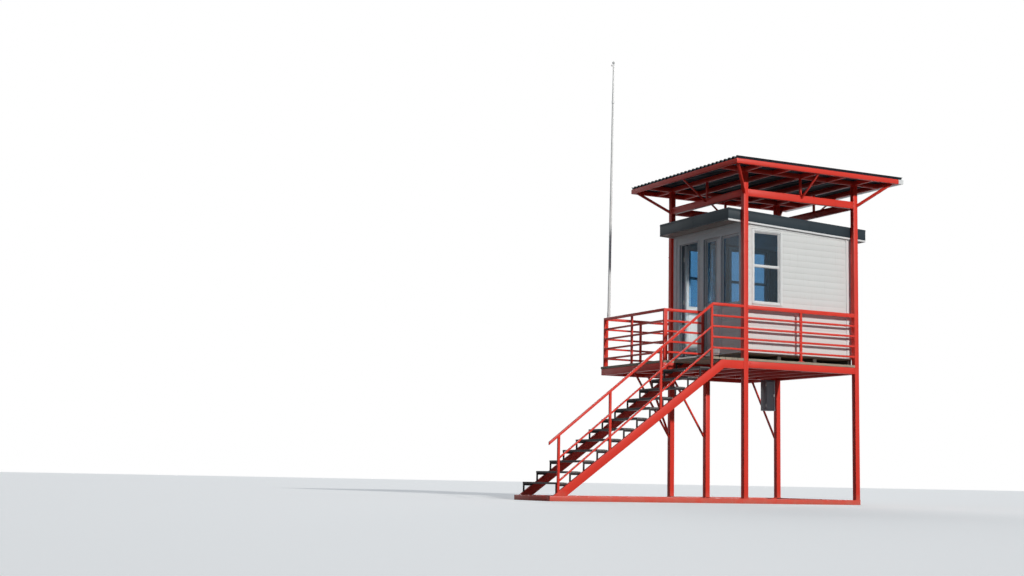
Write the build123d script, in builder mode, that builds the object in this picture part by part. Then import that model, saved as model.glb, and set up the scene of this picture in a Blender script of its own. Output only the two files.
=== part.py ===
"""Beach lookout tower: braced square-tube frame, stair, terrace, cabin and flat shade canopy.

Frame: X runs along the near face to the right, Y away from the viewer, Z up.
The origin is at the foot of the near left corner post. All sizes are in millimetres.
"""
from math import sqrt
import os

from build123d import *

os.makedirs("parts", exist_ok=True)

# Overall frame
bay_x = 2850
bay_y = 2730
post_size = 110
post_half = post_size / 2
ground_beam_height = 100
ground_beam_width = 120

# Deck
deck_top = 2925
deck_board = 50
deck_beam_height = 140
deck_beam_width = 100
deck_overlap = 10
terrace_reach = 1020
walkway_reach = 1160
terrace_start = 1430
joist_width = 60
joist_count = 4
middle_post_y = 1365
knee_run = 900
knee_drop = 1390
knee_bar = 45
knee_thickness = 40

# Stair
tread_count = 12
riser = 214.5
going = 295
landing_reach = 800
stringer_width = 60
stringer_depth = 170
stringer_knee = -590
tread_thickness = 35
tread_bar = 35
tread_bracket_width = 20
stair_outer = -50
stair_frame_margin = 83.5

# Railings
guard_height = 1095
rail_first_height = 180
rail_pitch = 218
rail_size = 40
rail_top_height = 60
near_rail_top_height = 80
rail_width = 40
rail_post = 50
rail_rows = 4
stair_side_rail_end = -38
rail_panel_gap = 15
handrail_slope = 0.785
handrail_top_z = 4000
handrail_top_x = -828
handrail_tail = 210
handrail_depth = 62
handrail_mid_drops = (452, 886)
handrail_post_x = (-4300, -3180, -2030)

# Cabin
cabin_y0 = 130
cabin_y1 = 2600
wall = 90
bearer_height = 110
bearer_width = 90
bearer_count = 4
cabin_floor_board = 45
door_head_z = 5560
window_z = (4105, 5615)
front_window_z = (4085, 5545)
bar_z = 4883
frame_face = 35
frame_depth = 60
frame_recess = 6
bar_face = 40
glass_thickness = 8
near_window_x = (309, 992)
far_window_small_x = (329, 1015)
far_window_large_x = (1429, 2425)
front_window_y = (165, 812)
right_window_y = (1060, 1670)
terrace_door_y = (1685, 2400)
landing_door_y = (850, 1465)

# Doors
door_gap = 8
door_foot_gap = 12
door_thickness = 45
door_stile = 84
door_top_rail = 90
door_glass_foot = 4215
lite_width = 325
lite_offset = 45
lite_foot = 4180
lite_top_rail = 55
hinge_radius = 7.5
hinge_plate = 3
hinge_plate_width = 36
hinge_height = 90
hinge_inset = 8
hinge_pin_clearance = 0.3
hinge_play = 0.5
hinge_pin_radius = 4.5
hinge_z = (3350, 4300, 5250)
knob_radius = 26
knob_neck_radius = 10
knob_reach = 50
knob_z = 4090

# Cabin roof
roof_left = -360
roof_right = 3210
roof_gap = 5
roof_fall = 0.0425
roof_eave_z = 5784
roof_depth = 215
soffit = 20

# Canopy
upper_beam_top = 6436
upper_beam_height = 150
upper_beam_width = 90
canopy_top = 6948
canopy_sheet = 55
canopy_sheet_lip = 110
canopy_wave_pitch = 145
canopy_wave_crest = 50
canopy_wave_flank = 27
canopy_sheet_thickness = 6
canopy_frame_height = 98
canopy_frame_width = 60
canopy_overhang = 665
purlin_count = 5
purlin_width = 50
gutter_width = 125
gutter_depth = 90
gutter_wall = 4
strut_size = 45
corner_strut_size = 60
strut_drop = 121
side_strut_drop = 76
strut_inset = 40
corner_strut_inset = 80

# Flag pole and locker
pole_top = 9950
pole_offset = 100
pole_foot_radius = 34
pole_joint_radius = 21
pole_tip_radius = 14
pole_upper_length = 1000
pole_lean = 55
pole_ball_radius = 34
pole_ball_seat = 8
pole_sleeve_wall = 5
pole_sleeve_length = 70
pole_socket_length = 120
pole_flange = 12
pole_flange_radius = 52
locker_width = 276
locker_depth = 170
locker_height = 690
locker_gap = 64

# Sizes that follow
deck_beam_top = deck_top - deck_board
deck_beam_foot = deck_beam_top - deck_beam_height
beam_half = deck_beam_width / 2
terrace_x = -terrace_reach
walkway_y = bay_y + walkway_reach
canopy_frame_top = canopy_top - canopy_sheet
canopy_foot = canopy_frame_top - canopy_frame_height
cabin_floor_top = deck_top + bearer_height + cabin_floor_board
stair_slope = riser / going
landing_far = terrace_start - beam_half
rail_top = deck_top + guard_height
soffit_foot = roof_eave_z - soffit
landing_nose = -landing_reach
stringer_foot_x = stringer_knee + (ground_beam_height - deck_beam_top) / stair_slope
stair_frame_end = stringer_foot_x - stair_frame_margin
handrail_foot_x = handrail_post_x[0] - handrail_tail
pole_joint_z = pole_top - pole_upper_length
strut_root_z = upper_beam_top - strut_drop
side_strut_root_z = upper_beam_top - side_strut_drop


def save(part, name):
    """Label a finished piece and write it."""
    part.label = name
    export_step(part, f"parts/{name}.step")


def bar(x0, x1, y0, y1, z0, z1):
    """Add one straight member with the given limits to the piece being built."""
    with BuildSketch(Plane.XY.offset(z0)) as section:
        with Locations(((x0 + x1) / 2, (y0 + y1) / 2)):
            Rectangle(x1 - x0, y1 - y0)
    extrude(section.sketch, amount=z1 - z0)


def cut(x0, x1, y0, y1, z0, z1):
    """Remove a rectangular space from the piece being built."""
    with BuildSketch(Plane.XY.offset(z0)) as section:
        with Locations(((x0 + x1) / 2, (y0 + y1) / 2)):
            Rectangle(x1 - x0, y1 - y0)
    extrude(section.sketch, amount=z1 - z0, mode=Mode.SUBTRACT)


def side_plate(points, y0, y1):
    """Add a plate whose outline lies in the XZ plane, from y0 to y1."""
    with BuildSketch(Plane.XZ.offset(-y1)) as outline:
        with BuildLine():
            Polyline(*points, close=True)
        make_face()
    extrude(outline.sketch, amount=y1 - y0)


def cross_plate(points, x0, x1):
    """Add a plate whose outline lies in the YZ plane, from x0 to x1."""
    with BuildSketch(Plane.YZ.offset(x0)) as outline:
        with BuildLine():
            Polyline(*points, close=True)
        make_face()
    extrude(outline.sketch, amount=x1 - x0)


def spread(start, end, count):
    """Even positions from start to end, both included."""
    return [start + (end - start) * i / (count - 1) for i in range(count)]


# Corner posts run from the ground beams to the canopy frame
corner_posts = {
    "post_near_left": (0, 0),
    "post_near_right": (bay_x, 0),
    "post_far_left": (0, bay_y),
    "post_far_right": (bay_x, bay_y),
}
for name, (px, py) in corner_posts.items():
    with BuildPart() as corner_post:
        with BuildSketch(Plane.XY.offset(ground_beam_height)):
            with Locations((px, py)):
                Rectangle(post_size, post_size)
        extrude(amount=canopy_foot - ground_beam_height)
    save(corner_post.part, name)

with BuildPart() as post_middle:
    with BuildSketch(Plane.XY.offset(ground_beam_height)):
        with Locations((0, middle_post_y)):
            Rectangle(post_size, post_size)
    extrude(amount=deck_beam_foot - ground_beam_height)
save(post_middle.part, "post_left_middle")

# Ground beams
gb = ground_beam_width / 2
gh = ground_beam_height
with BuildPart() as base_beam_near:
    bar(stair_frame_end, bay_x + gb, -gb, gb, 0, gh)
save(base_beam_near.part, "base_beam_near")

with BuildPart() as base_beam_far:
    bar(-gb, bay_x + gb, bay_y - gb, bay_y + gb, 0, gh)
save(base_beam_far.part, "base_beam_far")

with BuildPart() as base_cross_beams:
    bar(-gb, gb, gb, bay_y - gb, 0, gh)
    bar(bay_x - gb, bay_x + gb, gb, bay_y - gb, 0, gh)
save(base_cross_beams.part, "base_cross_beams")

stair_far_centre = landing_far - stringer_width / 2
with BuildPart() as base_stair_frame:
    bar(stair_frame_end, -gb, stair_far_centre - gb, stair_far_centre + gb, 0, gh)
    bar(stair_frame_end, stair_frame_end + 2 * gb, gb, stair_far_centre - gb, 0, gh)
save(base_stair_frame.part, "base_stair_frame")

# Deck beams between the posts
with BuildPart() as deck_beams:
    for y in (0, bay_y):
        bar(post_half, bay_x - post_half, y - beam_half, y + beam_half, deck_beam_foot, deck_beam_top)
    for x in (0, bay_x):
        bar(x - beam_half, x + beam_half, post_half, bay_y - post_half, deck_beam_foot, deck_beam_top)
save(deck_beams.part, "deck_beams")

with BuildPart() as deck_joists:
    for x in spread(0, bay_x, joist_count + 2)[1:-1]:
        bar(x - joist_width / 2, x + joist_width / 2, beam_half, bay_y - beam_half,
            deck_beam_foot, deck_beam_top)
save(deck_joists.part, "deck_joists")

# Terrace and rear walkway: edge beams carried by cantilevers from the posts
frame_z = (deck_beam_foot, deck_beam_top)
with BuildPart() as terrace_frame:
    bar(terrace_x - beam_half, terrace_x + beam_half, terrace_start - beam_half,
        walkway_y + beam_half, *frame_z)
    bar(terrace_x + beam_half, -beam_half, terrace_start - beam_half, terrace_start + beam_half, *frame_z)
    bar(terrace_x + beam_half, -post_half, bay_y - beam_half, bay_y + beam_half, *frame_z)
    bar(terrace_x + beam_half, bay_x + beam_half, walkway_y - beam_half, walkway_y + beam_half, *frame_z)
    for x in (0, bay_x):
        bar(x - beam_half, x + beam_half, bay_y + post_half, walkway_y - beam_half, *frame_z)
save(terrace_frame.part, "terrace_frame")

# Knee braces: parallelogram bars from the posts to the cantilevers
knee_root_z = deck_beam_foot - knee_drop
knee_rise = knee_bar * knee_drop / knee_run
with BuildPart() as knee_braces:
    for y in (middle_post_y + post_half - knee_thickness / 2, bay_y):
        x_out = -post_half - knee_run
        side_plate(
            [(-post_half, knee_root_z), (-post_half, knee_root_z + knee_rise),
             (x_out + knee_bar, deck_beam_foot), (x_out, deck_beam_foot)],
            y - knee_thickness / 2, y + knee_thickness / 2)
    for x in (0, bay_x):
        y_in = bay_y + post_half
        cross_plate(
            [(y_in, knee_root_z), (y_in, knee_root_z + knee_rise),
             (y_in + knee_run - knee_bar, deck_beam_foot), (y_in + knee_run, deck_beam_foot)],
            x - knee_thickness / 2, x + knee_thickness / 2)
save(knee_braces.part, "knee_braces")

# Deck boards, notched round the posts
with BuildPart() as deck_floor:
    bar(-beam_half, bay_x + beam_half, -beam_half - deck_overlap, bay_y - post_half, deck_beam_top, deck_top)
    for x in (0, bay_x):
        cut(x - post_half, x + post_half, -post_half - deck_overlap, post_half, deck_beam_top, deck_top)
save(deck_floor.part, "deck_floor")

with BuildPart() as walkway_floor:
    bar(-beam_half, bay_x + beam_half + deck_overlap, bay_y - post_half, walkway_y + beam_half + deck_overlap,
        deck_beam_top, deck_top)
    for x in (0, bay_x):
        cut(x - post_half, x + post_half, bay_y - post_half, bay_y + post_half, deck_beam_top, deck_top)
save(walkway_floor.part, "walkway_floor")

with BuildPart() as terrace_floor:
    bar(terrace_x - beam_half - deck_overlap, -beam_half, landing_far,
        walkway_y + beam_half + deck_overlap, deck_beam_top, deck_top)
    cut(-post_half, -beam_half, bay_y - post_half, bay_y + post_half, deck_beam_top, deck_top)
save(terrace_floor.part, "terrace_floor")


def stringer_top(x):
    """Height of the top edge of a sloping stringer."""
    return deck_beam_top + stair_slope * (x - stringer_knee)


def step_brackets(nose, top, foot_of_plate, y_faces):
    """Add the two open brackets that carry one step on the stringers."""
    back = stringer_knee + (foot_of_plate - deck_beam_top) / stair_slope
    inner = stringer_knee + (foot_of_plate - tread_bar - deck_beam_top) / stair_slope
    leg = nose + tread_bar
    for y in y_faces:
        side_plate(
            [(nose, stringer_top(nose)), (nose, foot_of_plate), (back, foot_of_plate),
             (inner, foot_of_plate - tread_bar), (leg, foot_of_plate - tread_bar), (leg, stringer_top(leg))],
            y, y + tread_bracket_width)


# Stringers: sloping plates that bend level to carry the landing edge
stringer_vertical = stringer_depth * sqrt(1 + stair_slope ** 2)
for name, y0 in (("stringer_near", stair_outer), ("stringer_far", landing_far - stringer_width)):
    end_x = -post_half
    level_foot = deck_beam_top - stringer_depth
    foot_back = stringer_knee + (ground_beam_height - deck_beam_top + stringer_vertical) / stair_slope
    knee_foot = stringer_knee + (level_foot - deck_beam_top + stringer_vertical) / stair_slope
    with BuildPart() as stringer:
        side_plate(
            [(stringer_foot_x, ground_beam_height), (stringer_knee, deck_beam_top), (end_x, deck_beam_top),
             (end_x, level_foot), (knee_foot, level_foot), (foot_back, ground_beam_height)],
            y0, y0 + stringer_width)
    save(stringer.part, name)

# Steps: a plate on two open brackets, each a solid of its own
tread_y0 = stair_outer + rail_width
tread_y1 = landing_far - rail_width
bracket_faces = (tread_y0, tread_y1 - tread_bracket_width)
with BuildPart() as stair_treads:
    for k in range(tread_count):
        nose = landing_nose - (tread_count - k) * going
        top = deck_top - (tread_count - k) * riser
        plate_foot = top - tread_thickness
        plate_back = stringer_knee + (plate_foot - deck_beam_top) / stair_slope
        bar(nose, plate_back, tread_y0, tread_y1, plate_foot, top)
        step_brackets(nose, top, plate_foot, bracket_faces)
save(stair_treads.part, "stair_treads")

with BuildPart() as landing_floor:
    bar(landing_nose, -beam_half, stair_outer, landing_far, deck_beam_top, deck_top)
    cut(-post_half, -beam_half, stair_outer, post_half, deck_beam_top, deck_top)
    step_brackets(landing_nose, deck_top, deck_beam_top, bracket_faces)
save(landing_floor.part, "landing_floor")

# Stair handrail on the near stringer
hy0 = stair_outer
hy1 = stair_outer + rail_width


def handrail_z(x, drop=0):
    """Height of the top of a sloping rail, a given drop below the handrail."""
    return handrail_top_z + handrail_slope * (x - handrail_top_x) - drop


newel_x0 = handrail_top_x - rail_post / 2
newel_x1 = handrail_top_x + rail_post / 2
with BuildPart() as stair_handrail:
    side_plate(
        [(handrail_foot_x, handrail_z(handrail_foot_x)), (newel_x1, handrail_z(newel_x1)),
         (newel_x1, handrail_z(newel_x1, handrail_depth)),
         (handrail_foot_x, handrail_z(handrail_foot_x, handrail_depth))], hy0, hy1)
    for drop in handrail_mid_drops:
        first = handrail_post_x[0]
        side_plate(
            [(first, handrail_z(first, drop)), (handrail_top_x, handrail_z(handrail_top_x, drop)),
             (handrail_top_x, handrail_z(handrail_top_x, drop + rail_size)),
             (first, handrail_z(first, drop + rail_size))], hy0, hy1)
    for x in (*handrail_post_x, handrail_top_x):
        left = x - rail_post / 2
        right = x + rail_post / 2
        side_plate(
            [(left, stringer_top(left)), (left, handrail_z(left, handrail_depth / 2)),
             (right, handrail_z(right, handrail_depth / 2)), (right, stringer_top(right))],
            hy0, hy1)
save(stair_handrail.part, "stair_handrail")


def rail_panel(axis, line, start, end, posts, top_height=rail_top_height):
    """Add one railing panel: level rails and posts standing on the deck boards."""
    w = rail_width / 2
    for row in range(rail_rows):
        z = deck_top + rail_first_height + row * rail_pitch
        if axis == "x":
            bar(start, end, line - w, line + w, z - rail_size / 2, z + rail_size / 2)
        else:
            bar(line - w, line + w, start, end, z - rail_size / 2, z + rail_size / 2)
    if axis == "x":
        bar(start, end, line - w, line + w, rail_top - top_height, rail_top)
    else:
        bar(line - w, line + w, start, end, rail_top - top_height, rail_top)
    for p in posts:
        p0 = p - rail_post / 2
        p1 = p + rail_post / 2
        if axis == "x":
            bar(p0, p1, line - w, line + w, deck_top, rail_top)
        else:
            bar(line - w, line + w, p0, p1, deck_top, rail_top)


near_line = stair_outer + rail_width / 2
rp = rail_post / 2
rw = rail_width / 2
with BuildPart() as railing_near:
    rail_panel("x", near_line, post_half, bay_x - post_half, [bay_x / 2 - post_half / 2],
               near_rail_top_height)
save(railing_near.part, "railing_near")

with BuildPart() as railing_landing:
    rail_panel("x", near_line, newel_x1, -post_half, [])
save(railing_landing.part, "railing_landing")

with BuildPart() as railing_stair_side:
    rail_panel("x", terrace_start, terrace_x + rw, stair_side_rail_end,
               [stair_side_rail_end - rp, terrace_x + rw + rp])
save(railing_stair_side.part, "railing_stair_side")

with BuildPart() as railing_terrace:
    rail_panel("y", terrace_x, terrace_start - rw, walkway_y + rw,
               [terrace_start - rw + rp, bay_y, walkway_y + rw - rp])
save(railing_terrace.part, "railing_terrace")

walkway_span = (terrace_x + rw, bay_x + rw)
with BuildPart() as railing_walkway:
    rail_panel("x", walkway_y, *walkway_span,
               [walkway_span[0] + rail_panel_gap + rp, -post_half - rp, bay_x / 2 - post_half / 2,
                walkway_span[1] - rp])
save(railing_walkway.part, "railing_walkway")

with BuildPart() as railing_walkway_end:
    rail_panel("y", bay_x, bay_y + post_half, walkway_y - rw, [(bay_y + post_half + walkway_y - rw) / 2])
save(railing_walkway_end.part, "railing_walkway_end")

# Cabin floor on bearers
with BuildPart() as cabin_floor:
    bar(0, bay_x, cabin_y0, cabin_y1, deck_top + bearer_height, cabin_floor_top)
    for x in spread(bearer_width / 2, bay_x - bearer_width / 2, bearer_count):
        bar(x - bearer_width / 2, x + bearer_width / 2, cabin_y0, cabin_y1,
            deck_top, deck_top + bearer_height)
save(cabin_floor.part, "cabin_floor")


def soffit_z(x):
    """Height of the underside of the sloping soffit."""
    return soffit_foot - roof_fall * x


def long_wall(x0, y0, windows):
    """Add a wall along X under the sloping roof, with its window openings."""
    side_plate([(x0, cabin_floor_top), (x0, soffit_z(x0)),
                (bay_x, soffit_z(bay_x)), (bay_x, cabin_floor_top)],
               y0, y0 + wall)
    for w0, w1 in windows:
        cut(w0, w1, y0, y0 + wall, *window_z)


# The near wall stops behind the front wall, whose window reaches almost to the corner
with BuildPart() as near_wall:
    long_wall(wall, cabin_y0, [near_window_x])
save(near_wall.part, "near_wall")

with BuildPart() as far_wall:
    long_wall(0, cabin_y1 - wall, [far_window_small_x, far_window_large_x])
save(far_wall.part, "far_wall")


def end_wall(x0, y0, y1, z0, window=None, heights=window_z):
    """Add a length of end wall along Y, with its window opening."""
    side_plate([(x0, z0), (x0, soffit_z(x0)), (x0 + wall, soffit_z(x0 + wall)), (x0 + wall, z0)], y0, y1)
    if window:
        cut(x0, x0 + wall, *window, *heights)


inner_y0 = cabin_y0 + wall
inner_y1 = cabin_y1 - wall
with BuildPart() as right_wall:
    end_wall(bay_x - wall, inner_y0, inner_y1, cabin_floor_top, right_window_y)
save(right_wall.part, "right_wall")

with BuildPart() as front_wall_near:
    end_wall(0, cabin_y0, landing_door_y[0], cabin_floor_top, front_window_y, front_window_z)
save(front_wall_near.part, "front_wall_near")

with BuildPart() as front_wall_middle:
    end_wall(0, landing_door_y[1], terrace_door_y[0], cabin_floor_top)
save(front_wall_middle.part, "front_wall_middle")

with BuildPart() as front_wall_far:
    end_wall(0, terrace_door_y[1], inner_y1, cabin_floor_top)
save(front_wall_far.part, "front_wall_far")

with BuildPart() as front_wall_heads:
    for d0, d1 in (landing_door_y, terrace_door_y):
        end_wall(0, d0, d1, door_head_z)
save(front_wall_heads.part, "front_wall_heads")

# Window frames and panes, set just behind the outer face of each wall
f = frame_face
pane_depth = frame_recess + (frame_depth - glass_thickness) / 2
windows = [("x", near_window_x, window_z, cabin_y0, 1, True),
           ("x", far_window_small_x, window_z, cabin_y1, -1, True),
           ("x", far_window_large_x, window_z, cabin_y1, -1, True),
           ("y", front_window_y, front_window_z, 0, 1, False),
           ("y", right_window_y, window_z, bay_x, -1, True)]


def layer(outer_face, inward, depth, thickness):
    """Limits of a layer that lies a given depth behind an outer wall face."""
    return sorted((outer_face + inward * depth, outer_face + inward * (depth + thickness)))


def light_rows(heights, has_bar):
    """Clear heights of a window's lights: one, or two with a bar between."""
    foot, head = heights[0] + f, heights[1] - f
    if has_bar:
        return [(foot, bar_z - bar_face / 2), (bar_z + bar_face / 2, head)]
    return [(foot, head)]


with BuildPart() as window_frames:
    for axis, (a, b), heights, face, inward, has_bar in windows:
        limits = layer(face, inward, frame_recess, frame_depth)
        if axis == "x":
            bar(a, b, *limits, *heights)
        else:
            bar(*limits, a, b, *heights)
        for row in light_rows(heights, has_bar):
            if axis == "x":
                cut(a + f, b - f, *limits, *row)
            else:
                cut(*limits, a + f, b - f, *row)
save(window_frames.part, "window_frames")

with BuildPart() as window_panes:
    for axis, (a, b), heights, face, inward, has_bar in windows:
        limits = layer(face, inward, pane_depth, glass_thickness)
        for row in light_rows(heights, has_bar):
            if axis == "x":
                bar(a + f, b - f, *limits, *row)
            else:
                bar(*limits, a + f, b - f, *row)
save(window_panes.part, "window_panes")

# Hinge lines: both doors turn about pins just inside the front wall
hinge_x = wall + hinge_inset
door_foot = cabin_floor_top + door_foot_gap
door_head = door_head_z - door_gap
terrace_hinge_y = terrace_door_y[1] - door_gap / 2
landing_hinge_y = landing_door_y[0] + door_gap / 2
knuckle = hinge_height / 3


def knuckles(x, y, moving):
    """Add the moving middle knuckles, or the fixed outer ones with their pins."""
    for z in hinge_z:
        if moving:
            with BuildSketch(Plane.XY.offset(z - knuckle / 2 + hinge_play)) as ring:
                with Locations((x, y)):
                    Circle(hinge_radius)
                    Circle(hinge_pin_radius + hinge_pin_clearance, mode=Mode.SUBTRACT)
            extrude(ring.sketch, amount=knuckle - 2 * hinge_play)
        else:
            with BuildSketch(Plane.XY.offset(z - hinge_height / 2)) as pin:
                with Locations((x, y)):
                    Circle(hinge_pin_radius)
            extrude(pin.sketch, amount=hinge_height)
            for z0 in (z - hinge_height / 2, z + knuckle / 2):
                with BuildSketch(Plane.XY.offset(z0)) as barrel:
                    with Locations((x, y)):
                        Circle(hinge_radius)
                extrude(barrel.sketch, amount=knuckle)


# The terrace door stands open at a right angle into the cabin, along the far wall
leaf_x0 = hinge_x + door_gap / 2
leaf_x1 = leaf_x0 + (terrace_door_y[1] - terrace_door_y[0] - 2 * door_gap)
leaf_y1 = terrace_hinge_y - hinge_inset
leaf_y0 = leaf_y1 - door_thickness
pane_y0 = leaf_y0 + (door_thickness - glass_thickness) / 2
with BuildPart() as terrace_door:
    bar(leaf_x0, leaf_x1, leaf_y0, leaf_y1, door_foot, door_head)
    cut(leaf_x0 + door_stile, leaf_x1 - door_stile, leaf_y0, leaf_y1,
        door_glass_foot, door_head - door_top_rail)
save(terrace_door.part, "terrace_door")

with BuildPart() as terrace_door_pane:
    bar(leaf_x0 + door_stile, leaf_x1 - door_stile, pane_y0, pane_y0 + glass_thickness,
        door_glass_foot, door_head - door_top_rail)
save(terrace_door_pane.part, "terrace_door_pane")

# The landing door is shut: its narrow light lies near the latch edge
shut_x1 = wall
shut_x0 = wall - door_thickness
shut_y0 = landing_door_y[0] + door_gap
shut_y1 = landing_door_y[1] - door_gap
lite_y1 = shut_y1 - lite_offset
lite_y0 = lite_y1 - lite_width
pane_x0 = shut_x0 + (door_thickness - glass_thickness) / 2
with BuildPart() as landing_door:
    bar(shut_x0, shut_x1, shut_y0, shut_y1, door_foot, door_head)
    cut(shut_x0, shut_x1, lite_y0, lite_y1, lite_foot, door_head - lite_top_rail)
save(landing_door.part, "landing_door")

with BuildPart() as landing_door_pane:
    bar(pane_x0, pane_x0 + glass_thickness, lite_y0, lite_y1, lite_foot, door_head - lite_top_rail)
save(landing_door_pane.part, "landing_door_pane")

# Fixed hinge halves on the wall, moving halves on the leaves
hp = hinge_plate
hw = hinge_plate_width
with BuildPart() as door_hinges:
    knuckles(hinge_x, terrace_hinge_y, False)
    knuckles(hinge_x, landing_hinge_y, False)
    for z in hinge_z:
        for z0 in (z - hinge_height / 2, z + knuckle / 2):
            bar(wall, wall + hp, terrace_hinge_y, terrace_door_y[1] + hw, z0, z0 + knuckle)
            bar(wall, wall + hp, landing_door_y[0] - hw, landing_hinge_y, z0, z0 + knuckle)
save(door_hinges.part, "door_hinges")

# Round knobs on both faces of each leaf, turned about their spindles
kr = knob_radius
nr = knob_neck_radius
knob_half_section = [
    (0, 0), (kr, 0), (kr, 0.12 * knob_reach), (nr, 0.16 * knob_reach), (nr, 0.48 * knob_reach),
    (0.85 * kr, 0.6 * knob_reach), (kr, 0.8 * knob_reach), (0.7 * kr, knob_reach), (0, knob_reach),
]
with BuildPart() as terrace_door_fittings:
    knuckles(hinge_x, terrace_hinge_y, True)
    for z in hinge_z:
        bar(hinge_x, leaf_x0 + hw, leaf_y1, leaf_y1 + hp,
            z - knuckle / 2 + hinge_play, z + knuckle / 2 - hinge_play)
    spindle_x = leaf_x1 - door_stile / 2
    for y, out in ((leaf_y0, -1), (leaf_y1, 1)):
        with BuildSketch(Plane(origin=(spindle_x, y, knob_z), x_dir=(1, 0, 0), z_dir=(0, 0, out))):
            with BuildLine():
                Polyline(*knob_half_section, close=True)
            make_face()
        revolve(axis=Axis((spindle_x, y, knob_z), (0, 1, 0)))
save(terrace_door_fittings.part, "terrace_door_fittings")

with BuildPart() as landing_door_fittings:
    knuckles(hinge_x, landing_hinge_y, True)
    for z in hinge_z:
        bar(wall, wall + hp, landing_hinge_y, shut_y0 + hw,
            z - knuckle / 2 + hinge_play, z + knuckle / 2 - hinge_play)
    spindle_y = shut_y1 - lite_offset / 2
    for x, out in ((shut_x0, 1), (shut_x1, -1)):
        with BuildSketch(Plane(origin=(x, spindle_y, knob_z), x_dir=(0, 1, 0), z_dir=(0, 0, out))):
            with BuildLine():
                Polyline(*knob_half_section, close=True)
            make_face()
        revolve(axis=Axis((x, spindle_y, knob_z), (1, 0, 0)))
save(landing_door_fittings.part, "landing_door_fittings")

# Cabin roof: single fall to the right, between the post lines
roof_y0 = post_half + roof_gap
roof_y1 = bay_y - post_half - roof_gap


def roof_z(x, rise=0):
    """Height above the soffit's top face of a plane that follows the fall."""
    return roof_eave_z - roof_fall * x + rise


with BuildPart() as cabin_soffit:
    side_plate([(roof_left, roof_z(roof_left, -soffit)), (roof_left, roof_z(roof_left)),
                (roof_right, roof_z(roof_right)), (roof_right, roof_z(roof_right, -soffit))],
               roof_y0, roof_y1)
save(cabin_soffit.part, "cabin_soffit")

with BuildPart() as cabin_roof:
    side_plate([(roof_left, roof_z(roof_left)), (roof_left, roof_z(roof_left, roof_depth)),
                (roof_right, roof_z(roof_right, roof_depth)), (roof_right, roof_z(roof_right))],
               roof_y0, roof_y1)
save(cabin_roof.part, "cabin_roof")

# Upper beams between the posts
ub = upper_beam_width / 2
with BuildPart() as upper_beams:
    for y in (0, bay_y):
        bar(post_half, bay_x - post_half, y - ub, y + ub, upper_beam_top - upper_beam_height, upper_beam_top)
    for x in (0, bay_x):
        bar(x - ub, x + ub, post_half, bay_y - post_half, upper_beam_top - upper_beam_height, upper_beam_top)
save(upper_beams.part, "upper_beams")

# Canopy frame: edge members and purlins under the roof sheet
edge_x0 = -canopy_overhang
edge_x1 = bay_x + canopy_overhang
edge_y0 = -canopy_overhang
edge_y1 = bay_y + canopy_overhang
cw = canopy_frame_width
with BuildPart() as canopy_frame:
    bar(edge_x0, edge_x1, edge_y0, edge_y1, canopy_foot, canopy_frame_top)
    cut(edge_x0 + cw, edge_x1 - cw, edge_y0 + cw, edge_y1 - cw, canopy_foot, canopy_frame_top)
    for x in spread(0, bay_x, purlin_count):
        bar(x - purlin_width / 2, x + purlin_width / 2, edge_y0 + cw, edge_y1 - cw,
            canopy_foot, canopy_frame_top)
    for y in (0, bay_y):
        bar(edge_x0 + cw, edge_x1 - cw, y - purlin_width / 2, y + purlin_width / 2,
            canopy_foot, canopy_frame_top)
save(canopy_frame.part, "canopy_frame")

# Corrugated sheet: folded waves that run along X and rest on the frame in their troughs
wave_count = round((edge_y1 - edge_y0) / canopy_wave_pitch)
wave_pitch = (edge_y1 - edge_y0) / wave_count
fold_rise = canopy_sheet - canopy_sheet_thickness
fold_slope = fold_rise / canopy_wave_flank
fold_shift = canopy_sheet_thickness * (sqrt(1 + fold_slope ** 2) - 1) / fold_slope
crest_half = canopy_wave_crest / 2
trough_edge = crest_half + canopy_wave_flank
with BuildPart() as canopy_roof:
    with BuildSketch(Plane.YZ.offset(edge_x0)) as sheet_section:
        with Locations(*[(edge_y0 + i * wave_pitch, canopy_frame_top) for i in range(wave_count)]):
            Polygon((0, canopy_sheet), (crest_half, canopy_sheet),
                    (trough_edge, canopy_sheet_thickness), (wave_pitch - trough_edge, canopy_sheet_thickness),
                    (wave_pitch - crest_half, canopy_sheet), (wave_pitch, canopy_sheet),
                    (wave_pitch, fold_rise), (wave_pitch - crest_half + fold_shift, fold_rise),
                    (wave_pitch - trough_edge + fold_shift, 0), (trough_edge - fold_shift, 0),
                    (crest_half - fold_shift, fold_rise), (0, fold_rise), align=None)
    extrude(sheet_section.sketch, amount=edge_x1 + canopy_sheet_lip - edge_x0)
save(canopy_roof.part, "canopy_roof")

# Box gutter under the low end of the sheet
gutter_top = canopy_frame_top
gutter_x1 = edge_x1 + gutter_width
gw = gutter_wall
with BuildPart() as canopy_gutter:
    bar(edge_x1, gutter_x1, edge_y0, edge_y1, gutter_top - gutter_depth, gutter_top)
    cut(edge_x1 + gw, gutter_x1 - gw, edge_y0 + gw, edge_y1 - gw, gutter_top - gutter_depth + gw, gutter_top)
save(canopy_gutter.part, "canopy_gutter")

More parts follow.
